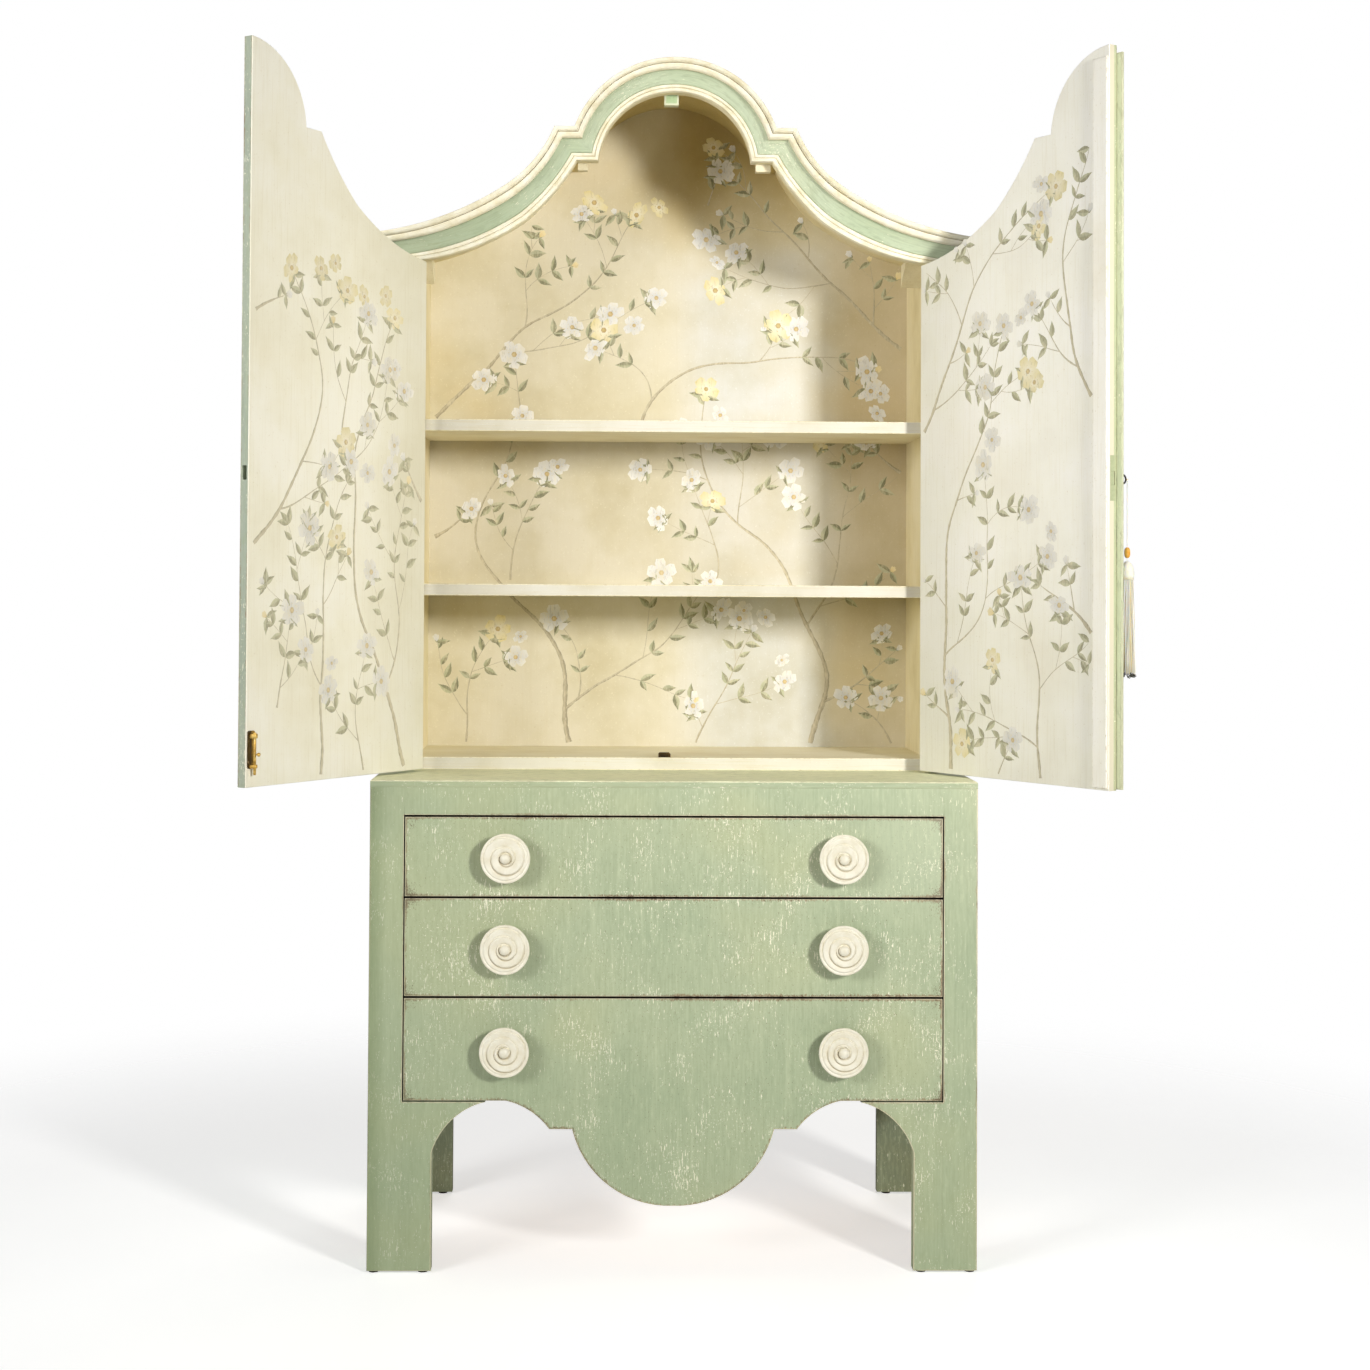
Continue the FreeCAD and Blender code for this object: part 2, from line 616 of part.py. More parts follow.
def dprism(sgn, outline, b0, b1, name=None):
    body = sketch_body(outline, q(b1) - b0)
    x, y = spot(sgn, 0.0, b1)
    turned(body, sgn, x, y, 0.0)
    if name:
        node(name, body)
    return body


FB = P("face_b")
IB = FB + P("door_t")
HE = P("hinge_edge")
FREE = AX - P("door_gap")
LZ, KA = P("lock_z"), P("key_a")
pins, case_leaves = [], []
third = leaf_len * (1.0 / 3.0)
for side, sgn in (("left", -1), ("right", 1)):
    panel = dprism(sgn, door_outline(sgn), FB, IB)
    tools = []
    leaves = []
    for hz in hinges:
        z0, z1 = hz - leaf_len * 0.5, hz + leaf_len * 0.5
        tools.append(dbox(sgn, HE - 0.5, HE + P("leaf_t"), FB - 0.5, P("leaf_reach"), z0, z1))
        # door leaf: plate let into the door's edge, one knuckle in the middle
        leaf = fuse([dbox(sgn, HE, HE + P("leaf_t"), FB, P("leaf_reach"), z0, z1),
                     dbox(sgn, HE, HE + P("leaf_t"), 2.0, FB + 1.0, z0 + third + 0.3, z1 - third - 0.3),
                     dcyl_z(sgn, P("knuckle_r"), third - 0.6, 0.0, 0.0, z0 + third + 0.3)])
        leaves.append(cut(leaf, [dcyl_z(sgn, P("knuckle_hole_r"), leaf_len, 0.0, 0.0, z0)]))
        # case leaf: plate let into the case side, outer knuckles
        lx = -AX if sgn < 0 else AX
        xa, xb = ((-(CH + P("leaf_t")), -CH) if sgn < 0 else (CH, CH + P("leaf_t")))
        cl = fuse([box(xa, xb, Y(CY), Y(P("pin_y") + P("leaf_reach")), z0, z1),
                   box(xa, xb, AY + 2.0, Y(CY) + 1.0, z0, z0 + third),
                   box(xa, xb, AY + 2.0, Y(CY) + 1.0, z1 - third, z1),
                   cyl(P("knuckle_r"), third, lx, AY, z0),
                   cyl(P("knuckle_r"), third, lx, AY, z1 - third)])
        case_leaves.append(cut(cl, [cyl(P("pin_r"), leaf_len + 2.0, lx, AY, z0 - 1.0)]))
        pins.append(fuse([cyl(P("pin_r"), leaf_len, lx, AY, z0),
                          cyl(3.0, 2.0, lx, AY, z0 - 2.0),
                          cyl(3.0, 2.0, lx, AY, z1)]))
    group(leaves, "%s_door_leaves" % side)
    if sgn < 0:
        # mortise for the lock bolt in the edge
        tools.append(dbox(-1, FREE - 11.0, FREE + 1.0, 9.1, 19.1, LZ - 12.5, LZ + 12.5))
        cut(panel, tools, "left_door_board")
    else:
        tools.append(dbox(1, 450.0, FREE + 1.0, 7.5, 20.5, LZ - 40.0, LZ + 40.0))
        tools.append(dcyl_b(1, 3.2, KA, FB - 1.0, 8.5, LZ))
        cut(panel, tools, "right_door_board")
group(case_leaves, "case_hinge_leaves")
group(pins, "hinge_pins")

# right door: cover strip outside, lock strip inside, lock and key
ast = dbox(1, 466.0, 510.5, FB - 6.0, FB, 906.0, 2206.0)
cut(ast, [dbox(1, FREE, 512.0, FB - 0.6, FB + 1.0, 900.0, 2220.0),
          dcyl_b(1, 3.2, KA, FB - 7.0, FB + 1.0, LZ)], "door_astragal")
dbox(1, 463.0, 497.5, IB, IB + 5.0, 908.0, 2198.0, "lock_strip")
case = dbox(1, 450.0, FREE, 7.5, 20.5, LZ - 40.0, LZ + 40.0)
cut(case, [dbox(1, 452.0, FREE + 1.0, 9.3, 18.9, LZ - 12.3, LZ + 12.3),
           dcyl_b(1, 3.2, KA, 6.0, 9.4, LZ)], "lock_case")
lb = dbox(1, 455.0, 498.0, 9.6, 18.6, LZ - 12.0, LZ + 12.0)
cut(lb, [dbox(1, 463.5, 483.5, 9.0, 19.2, LZ - 3.2, LZ + 3.2)], "lock_bolt")
es = fuse([dbox(1, KA - 7.0, KA + 7.0, FB - 7.5, FB - 6.0, LZ - 5.0, LZ + 5.0),
           dcyl_b(1, 7.0, KA, FB - 7.5, FB - 6.0, LZ - 5.0),
           dcyl_b(1, 7.0, KA, FB - 7.5, FB - 6.0, LZ + 5.0)])
cut(es, [dcyl_b(1, 3.2, KA, FB - 8.5, FB - 5.0, LZ)], "escutcheon")

bow = doc.addObject("Part::Torus", uid("bow"))
bind(bow, "Radius1", P("bow_r"))
bind(bow, "Radius2", P("bow_wire"))
bx, by = spot(1, KA, P("bow_b"))
place(bow, bx, by, LZ)
_t = math.radians(VAL["door_open"])
bow.Placement.Rotation = FreeCAD.Rotation(V(0, 0, 1), V(math.cos(_t), math.sin(_t), 0))
fuse([bow, dcyl_b(1, P("key_r"), KA, P("bow_b") + P("bow_r"), 18.5, LZ),
      dcyl_b(1, 4.0, KA, -9.0, -6.0, LZ)], "door_key")

# tassel: hangs from the end of the key's bow
TB = P("tassel_b")
knot = doc.addObject("Part::Sphere", uid("knot"))
bind(knot, "Radius", 2.2)
tx, ty = spot(1, KA, TB)
place(knot, tx, ty, LZ)
fuse([knot, dcyl_z(1, P("cord_r"), 143.5, KA, TB, 1308.0)], "tassel_cord")
bead = dcyl_z(1, 5.5, 19.0, KA, TB, 1313.0)
cut(bead, [dcyl_z(1, P("cord_r"), 21.0, KA, TB, 1312.0)], "tassel_bead")
dcyl_z(1, 13.5, 31.0, KA, TB, 1277.0, "tassel_head")
sk = doc.addObject("Part::Cone", uid("skirt"))
bind(sk, "Radius1", 19.0)
bind(sk, "Radius2", 13.5)
bind(sk, "Height", 179.0)
place(sk, tx, ty, 1098.0)
node("tassel_skirt", sk)

# left door: surface bolt, its rod drops into the hole of the case bottom
BA, RB = P("bolt_a"), P("rod_b")
plate = fuse([dbox(-1, BA - 9.5, BA + 9.5, IB, IB + 1.5, 937.0, 1003.0),
              dbox(-1, BA - 5.5, BA + 5.5, IB + 1.0, RB + 4.5, 938.0, 944.0),
              dbox(-1, BA - 5.5, BA + 5.5, IB + 1.0, RB + 4.5, 990.0, 998.0)])
cut(plate, [dcyl_z(-1, P("rod_r") + 0.06, 70.0, BA, RB, 935.0)], "bolt_plate")
ball = doc.addObject("Part::Sphere", uid("ball"))
bind(ball, "Radius", 3.4)
kx, ky = spot(-1, BA, RB + 9.2)
place(ball, kx, ky, 962.0)
fuse([dcyl_z(-1, P("rod_r"), 74.0, BA, RB, 926.0),
      dcyl_b(-1, 2.2, BA, RB, RB + 8.5, 962.0), ball], "bolt_rod")

# ====================================================================== output
doc.recompute()
bad = [o.Name for o in doc.Objects if "Invalid" in o.State or "Error" in o.State]
if bad:
    raise RuntimeError("failed objects: %s" % bad)
for name, obj in NODES.items():
    s = obj.Shape
    if s.isNull() or not s.isValid():
        raise RuntimeError("bad shape: %s" % name)
if len(NODES) > 60:
    raise RuntimeError("too many nodes")
whole = None
for name, obj in NODES.items():
    obj.Shape.exportStep("parts/%s.step" % name)
    b = obj.Shape.BoundBox
    whole = b if whole is None else whole.united(b)
    print("%-24s solids %2d  volume %12.0f  x %8.1f %8.1f  y %8.1f %8.1f  z %8.1f %8.1f" % (
        name, len(obj.Shape.Solids), obj.Shape.Volume, b.XMin, b.XMax, b.YMin, b.YMax, b.ZMin, b.ZMax))
print("nodes", len(NODES))
print("cord tube volume", math.pi * VAL["cord_r"]**2 * 143.5, "length 143.5, straight")
print("whole x %.1f %.1f y %.1f %.1f z %.1f %.1f" % (whole.XMin, whole.XMax, whole.YMin, whole.YMax, whole.ZMin, whole.ZMax))
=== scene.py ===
import math
import random

import bpy
import bmesh
import numpy as np
from mathutils import Vector, Matrix, geometry


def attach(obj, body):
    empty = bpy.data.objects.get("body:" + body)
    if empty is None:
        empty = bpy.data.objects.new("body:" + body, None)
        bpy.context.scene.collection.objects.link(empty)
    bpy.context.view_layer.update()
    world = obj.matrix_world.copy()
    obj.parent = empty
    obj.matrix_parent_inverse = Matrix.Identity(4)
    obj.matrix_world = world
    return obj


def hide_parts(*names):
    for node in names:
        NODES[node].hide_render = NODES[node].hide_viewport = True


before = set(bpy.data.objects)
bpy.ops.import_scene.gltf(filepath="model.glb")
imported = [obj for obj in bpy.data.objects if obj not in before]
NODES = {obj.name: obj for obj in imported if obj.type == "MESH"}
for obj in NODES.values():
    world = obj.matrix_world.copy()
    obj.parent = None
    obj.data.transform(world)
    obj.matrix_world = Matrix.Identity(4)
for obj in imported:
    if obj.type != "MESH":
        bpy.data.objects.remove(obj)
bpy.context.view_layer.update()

SCENE = bpy.context.scene

# =================================================================== camera
YAW, PITCH, ROLL = -0.01985, 0.02184, 0.00542
fwd = Vector((-math.sin(YAW) * math.cos(PITCH), math.cos(YAW) * math.cos(PITCH), math.sin(PITCH)))
right = Vector((math.cos(YAW), math.sin(YAW), 0.0))
up = right.cross(fwd)
r2 = right * math.cos(ROLL) + up * math.sin(ROLL)
u2 = up * math.cos(ROLL) - right * math.sin(ROLL)
cam_data = bpy.data.cameras.new("camera")
cam_data.lens = 57.80
cam_data.sensor_width = 36.0
cam_data.shift_x = 0.02453
cam_data.shift_y = -0.10650
cam_data.clip_start, cam_data.clip_end = 0.05, 100.0
cam_data.dof.use_dof = False
cam = bpy.data.objects.new("camera", cam_data)
SCENE.collection.objects.link(cam)
rot = Matrix((r2, u2, -fwd)).transposed().to_4x4()
cam.matrix_world = Matrix.Translation((-0.12643, -4.22838, 1.25677)) @ rot
SCENE.camera = cam

# =================================================================== lights
SCENE.view_settings.view_transform = "Standard"
SCENE.view_settings.look = "None"


def area(name, loc, aim, size, watts, colour=(1, 1, 1), spread=180):
    d = bpy.data.lights.new(name, "AREA")
    d.shape = "DISK" if isinstance(size, float) else "RECTANGLE"
    if isinstance(size, float):
        d.size = size
    else:
        d.size, d.size_y = size
    d.energy = watts
    d.color = colour
    d.spread = math.radians(spread)
    o = bpy.data.objects.new(name, d)
    SCENE.collection.objects.link(o)
    o.location = loc
    o.rotation_mode = "QUATERNION"
    o.rotation_quaternion = (Vector(aim) - Vector(loc)).to_track_quat("-Z", "Y")
    return o


area("key", (2.45, -3.80, 2.12), (0.05, 0.2, 1.62), (0.55, 0.75), 46.0, (1.0, 0.99, 0.965), 92)
area("fill", (-3.1, -3.1, 2.05), (0.45, 0.0, 1.78), (1.6, 1.4), 29.0, (0.99, 0.995, 1.0), 92)
area("side", (-3.3, -1.45, 1.75), (0.6, -0.25, 1.6), (1.0, 1.2), 3.3, (0.995, 1.0, 1.0), 100)
area("low_front", (0.3, -4.6, 0.7), (0.0, 0.0, 0.9), (3.0, 1.2), 8.0)
area("rear", (0.5, 4.2, 3.4), (0.0, 0.3, 1.1), (3.0, 2.0), 60.0)

world = bpy.data.worlds.new("studio")
SCENE.world = world
world.use_nodes = True
wt = world.node_tree
wt.nodes.clear()
w_out = wt.nodes.new("ShaderNodeOutputWorld")
w_mix = wt.nodes.new("ShaderNodeMixShader")
w_amb = wt.nodes.new("ShaderNodeBackground")
w_cam = wt.nodes.new("ShaderNodeBackground")
w_lp = wt.nodes.new("ShaderNodeLightPath")
w_amb.inputs["Color"].default_value = (1.0, 1.0, 1.0, 1)
w_amb.inputs["Strength"].default_value = 0.085
w_cam.inputs["Color"].default_value = (1, 1, 1, 1)
w_cam.inputs["Strength"].default_value = 1.0
wt.links.new(w_lp.outputs["Is Camera Ray"], w_mix.inputs[0])
wt.links.new(w_amb.outputs[0], w_mix.inputs[1])
wt.links.new(w_cam.outputs[0], w_mix.inputs[2])
wt.links.new(w_mix.outputs[0], w_out.inputs[0])


# ================================================================ materials
def lin(hexa):
    hexa = hexa.lstrip("#")
    out = []
    for i in (0, 2, 4):
        c = int(hexa[i:i + 2], 16) / 255.0
        out.append(c / 12.92 if c <= 0.04045 else ((c + 0.055) / 1.055) ** 2.4)
    return (out[0], out[1], out[2], 1.0)


class Tree:
    """Small helper that wires a procedural material."""

    def __init__(self, name, rough=0.6, spec=0.35):
        self.mat = bpy.data.materials.new(name)
        self.mat.use_nodes = True
        self.nt = self.mat.node_tree
        self.nt.nodes.clear()
        self.out = self.nt.nodes.new("ShaderNodeOutputMaterial")
        self.bsdf = self.nt.nodes.new("ShaderNodeBsdfPrincipled")
        self.nt.links.new(self.bsdf.outputs[0], self.out.inputs["Surface"])
        self.bsdf.inputs["Roughness"].default_value = rough
        self.bsdf.inputs["Specular IOR Level"].default_value = spec
        self.obj = None

    def put(self, node, key, val):
        if isinstance(val, bpy.types.NodeSocket):
            self.nt.links.new(val, node.inputs[key])
        elif val is not None:
            node.inputs[key].default_value = val

    def coords(self, scale, kind="Object", rot=None, shift=None):
        tc = self.nt.nodes.new("ShaderNodeTexCoord")
        mp = self.nt.nodes.new("ShaderNodeMapping")
        self.nt.links.new(tc.outputs[kind], mp.inputs["Vector"])
        mp.inputs["Scale"].default_value = scale
        if rot:
            mp.inputs["Rotation"].default_value = rot
        if shift:
            mp.inputs["Location"].default_value = shift
        return mp.outputs[0]

    def noise(self, vec, scale=1.0, detail=2.0, rough=0.5, distort=0.0):
        n = self.nt.nodes.new("ShaderNodeTexNoise")
        self.nt.links.new(vec, n.inputs["Vector"])
        n.inputs["Scale"].default_value = scale
        n.inputs["Detail"].default_value = detail
        n.inputs["Roughness"].default_value = rough
        n.inputs["Distortion"].default_value = distort
        return n.outputs["Fac"]

    def ramp(self, fac, stops, interp="LINEAR"):
        r = self.nt.nodes.new("ShaderNodeValToRGB")
        self.nt.links.new(fac, r.inputs["Fac"])
        r.color_ramp.interpolation = interp
        els = r.color_ramp.elements
        els[0].position, els[0].color = stops[0][0], stops[0][1]
        els[1].position, els[1].color = stops[-1][0], stops[-1][1]
        for p, c in stops[1:-1]:
            e = els.new(p)
            e.color = c
        return r.outputs["Color"]

    def step(self, fac, a, b):
        """0 below a, 1 above b (or the other way when a > b)."""
        m = self.nt.nodes.new("ShaderNodeMapRange")
        m.interpolation_type = "SMOOTHSTEP"
        self.nt.links.new(fac, m.inputs["Value"])
        lo, hi = (a, b) if a < b else (b, a)
        m.inputs["From Min"].default_value = lo
        m.inputs["From Max"].default_value = hi
        m.inputs["To Min"].default_value = 0.0 if a < b else 1.0
        m.inputs["To Max"].default_value = 1.0 if a < b else 0.0
        return m.outputs["Result"]

    def math(self, op, a, b=None, clamp=False):
        m = self.nt.nodes.new("ShaderNodeMath")
        m.operation = op
        m.use_clamp = clamp
        self.put(m, 0, a)
        if b is not None:
            self.put(m, 1, b)
        return m.outputs[0]

    def mix(self, fac, a, b, blend="MIX"):
        m = self.nt.nodes.new("ShaderNodeMix")
        m.data_type = "RGBA"
        m.blend_type = blend
        self.put(m, 0, fac)
        self.put(m, 6, a)
        self.put(m, 7, b)
        return m.outputs[2]

    def attr(self, name, out="Fac"):
        a = self.nt.nodes.new("ShaderNodeAttribute")
        a.attribute_type = "GEOMETRY"
        a.attribute_name = name
        return a.outputs[out]

    def normal_axis(self, axis):
        g = self.nt.nodes.new("ShaderNodeNewGeometry")
        s = self.nt.nodes.new("ShaderNodeSeparateXYZ")
        self.nt.links.new(g.outputs["Normal"], s.inputs[0])
        return s.outputs[axis]

    def position_axis(self, axis):
        tc = self.nt.nodes.new("ShaderNodeTexCoord")
        s = self.nt.nodes.new("ShaderNodeSeparateXYZ")
        self.nt.links.new(tc.outputs["Object"], s.inputs[0])
        return s.outputs[axis]

    def bump(self, height, dist=0.0004, strength=1.0, prev=None):
        b = self.nt.nodes.new("ShaderNodeBump")
        b.inputs["Distance"].default_value = dist
        b.inputs["Strength"].default_value = strength
        self.nt.links.new(height, b.inputs["Height"])
        if prev is not None:
            self.nt.links.new(prev, b.inputs["Normal"])
        return b.outputs[0]

    def colour(self, c):
        self.put(self.bsdf, "Base Color", c)

    def rough(self, r):
        self.put(self.bsdf, "Roughness", r)

    def normal(self, n):
        self.nt.links.new(n, self.bsdf.inputs["Normal"])


MATS = {}
AX_SCALE = {"z": (1.0, 1.0, 0.035), "x": (0.035, 1.0, 1.0), "uv": (0.035, 1.0, 1.0)}


def green_paint(name, grain="z", wear=True, base=("#A6B393", "#B0BA99", "#B9BD98"),
                fleck=1.0, kind="Object", brown="#8F7254", wear_w=9.0, shade=None, corners=False,
                left_painted_shade=0.0, low_painted_shade=0.0, rub=0.9, dirt=0.72, end_shade=0.0, lining=None,
                right_painted_light=0.0):
    """Dry-brushed sage paint: fine strokes, soft patches, cream flecks, worn arrises."""
    t = Tree(name, rough=0.62, spec=0.3)
    s = AX_SCALE[grain]

    def sc(f, k=1.0):
        return (f * (s[0] if s[0] == 1.0 else s[0] * k), f * (s[1] if s[1] == 1.0 else s[1] * k),
                f * (s[2] if s[2] == 1.0 else s[2] * k))
    fine = t.noise(t.coords(sc(330.0), kind), 1.0, 3.0, 0.65)
    broad = t.noise(t.coords(sc(90.0, 1.4), kind), 1.0, 2.0, 0.5)
    patch = t.noise(t.coords((1, 1, 1), kind), 4.2, 2.0, 0.5)
    soft = t.noise(t.coords((1, 1, 1), kind, shift=(3.1, 1.7, 0.4)), 11.0, 3.0, 0.6)
    body = t.ramp(patch, [(0.34, lin(base[0])), (0.5, lin(base[1])), (0.64, lin(base[2]))])
    # strokes: a little darker and greener, a little paler
    dark = t.ramp(patch, [(0.34, lin("#96A385")), (0.64, lin("#A5AC87"))])
    pale = lin("#C9D1AE")
    dab = t.noise(t.coords(sc(150.0, 9.0), kind, shift=(0.7, 1.9, 3.3)), 1.0, 3.0, 0.6)
    col = t.mix(t.math("MULTIPLY", t.step(fine, 0.54, 0.30), 0.40), body, dark)
    col = t.mix(t.math("MULTIPLY", t.step(dab, 0.50, 0.34), 0.34), col, dark)
    col = t.mix(t.math("MULTIPLY", t.step(broad, 0.56, 0.78), 0.24), col, pale)
    col = t.mix(t.math("MULTIPLY", t.step(fine, 0.56, 0.74), 0.34), col, pale)
    col = t.mix(t.math("MULTIPLY", t.step(dab, 0.55, 0.72), 0.30), col, pale)
    # cream flecks where the undercoat shows, in clusters: short ticks and a few dots
    fl = t.noise(t.coords(sc(560.0, 4.2), kind), 1.0, 2.0, 0.5)
    fd = t.noise(t.coords(sc(430.0, 22.0), kind, shift=(1.7, 4.1, 0.9)), 1.0, 2.0, 0.5)
    gather = t.math("ADD", t.math("MULTIPLY", soft, 0.42), t.math("MULTIPLY", patch, 0.12))
    if corners:
        gather = t.math("ADD", gather, t.math("MULTIPLY", t.step(t.attr("edge"), 15.0, 3.0), 0.035))
    thr = t.math("SUBTRACT", t.math("ADD", fl, gather), 0.27)
    flecks = t.step(thr, 0.713 - 0.02 * fleck, 0.728 - 0.02 * fleck)
    thr = t.math("SUBTRACT", t.math("ADD", fd, gather), 0.27)
    dots = t.step(thr, 0.732 - 0.02 * fleck, 0.747 - 0.02 * fleck)
    flecks = t.math("MAXIMUM", flecks, dots)
    col = t.mix(t.math("MULTIPLY", flecks, 0.90), col, lin("#F4F1D9"))
    height = t.math("ADD", t.math("MULTIPLY", fine, 0.7), t.math("MULTIPLY", flecks, -0.35))
    if wear:
        e = t.attr("edge")
        band = t.step(e, wear_w, 0.0)
        rag = t.noise(t.coords(sc(300.0, 7.0), kind, shift=(0.3, 0.9, 2.2)), 1.0, 3.0, 0.7)
        spread = t.noise(t.coords((1, 1, 1), kind, shift=(7.3, 2.9, 5.2)), 6.5, 2.0, 0.5)
        m = t.math("ADD", t.math("MULTIPLY", band, 0.36), t.math("MULTIPLY", rag, 0.55))
        m = t.math("ADD", m, t.math("MULTIPLY", spread, 0.42))
        if corners:
            # the drawers are rubbed most towards their corners
            m = t.math("ADD", m, t.math("MULTIPLY", t.math("MULTIPLY", t.attr("corner"), band), 0.16))
            m = t.math("ADD", m, t.math("MULTIPLY", t.attr("corner"), 0.04))
            wide = t.math("MULTIPLY", t.step(e, 26.0, 4.0), t.step(rag, 0.50, 0.62))
            m = t.math("ADD", m, t.math("MULTIPLY", wide, 0.10))
        brown_m = t.step(m, 0.74, 0.92)
        col = t.mix(t.math("MULTIPLY", brown_m, dirt), col, lin(brown))
        if corners:
            bits = t.noise(t.coords(sc(640.0, 14.0), kind, shift=(2.3, 0.4, 6.1)), 1.0, 2.0, 0.6)
            near_c = t.math("MULTIPLY", t.step(t.attr("corner"), 0.50, 1.0),
                            t.math("ADD", t.math("MULTIPLY", t.step(spread, 0.36, 0.60), 0.16), 0.10))
            along = t.math("MULTIPLY", t.math("MULTIPLY", t.step(e, 6.0, 1.2), t.step(spread, 0.36, 0.58)), 0.20)
            spot = t.step(t.math("ADD", bits, t.math("ADD", near_c, along)), 0.66, 0.72)
            col = t.mix(t.math("MULTIPLY", spot, 0.72), col, lin("#5E4030"))
        # the very arris rubbed through to the cream ground
        near = t.step(e, 2.8, 0.4)
        rag2 = t.noise(t.coords(sc(210.0, 2.0), kind, shift=(5.3, 0.2, 1.2)), 1.0, 3.0, 0.7)
        c2 = t.math("ADD", t.math("MULTIPLY", near, 0.42), t.math("MULTIPLY", rag2, 0.5))
        c2 = t.math("ADD", c2, t.math("MULTIPLY", t.math("SUBTRACT", 1.0, spread), 0.30))
        cream_m = t.step(c2, 0.72, 0.84)
        col = t.mix(t.math("MULTIPLY", t.math("MULTIPLY", cream_m, near), rub), col, lin("#E6DDBC"))
        height = t.math("ADD", height, t.math("MULTIPLY", cream_m, -0.5))
    if left_painted_shade:
        # painted shade: the paint is darker and duller towards the left end
        px = t.position_axis(0)
        col = t.mix(t.math("MULTIPLY", t.step(px, 0.10, -0.58), left_painted_shade), col, lin("#8C9A7A"))
    if right_painted_light:
        # painted light: paler towards the right end, at the top drawer's height and above
        lift = t.math("MULTIPLY", t.step(t.position_axis(0), 0.16, 0.46), t.step(t.position_axis(2), 0.60, 0.74))
        col = t.mix(t.math("MULTIPLY", lift, right_painted_light), col, lin("#DCE2C4"))
    if end_shade:
        # painted shade along the rounded outer corner at the left
        col = t.mix(t.math("MULTIPLY", t.step(t.position_axis(0), -0.522, -0.558), end_shade), col, lin("#77845A"))
    if lining is not None:
        # the cream of the inside is carried over the inner part of the edge
        axis, org, a_mm, b_mm = lining
        sub = t.nt.nodes.new("ShaderNodeVectorMath")
        sub.operation = "SUBTRACT"
        t.nt.links.new(t.coords((1, 1, 1)), sub.inputs[0])
        sub.inputs[1].default_value = org
        dot = t.nt.nodes.new("ShaderNodeVectorMath")
        dot.operation = "DOT_PRODUCT"
        t.nt.links.new(sub.outputs[0], dot.inputs[0])
        dot.inputs[1].default_value = axis
        col = t.mix(t.step(dot.outputs["Value"], a_mm / 1000.0, b_mm / 1000.0), col, lin("#DDD5BC"))
    # painted shade: darker towards the bottom
    if low_painted_shade:
        pz = t.position_axis(2)
        col = t.mix(t.math("MULTIPLY", t.step(pz, 0.62, 0.0), low_painted_shade), col, lin("#7F8E6C"))
    if shade is not None:
        col = t.mix(1.0, col, shade, "MULTIPLY")
    # old dirt and painted shade in the joints round the drawers: their walls are painted almost black
    col = t.mix(t.step(t.attr("gap"), 0.35, 0.8), col, lin("#241A10"))
    t.colour(col)
    t.rough(t.math("ADD", t.math("MULTIPLY", fine, 0.16), 0.50))
    t.normal(t.bump(height, 0.00035, 0.8))
    MATS[name] = t.mat
    return t.mat


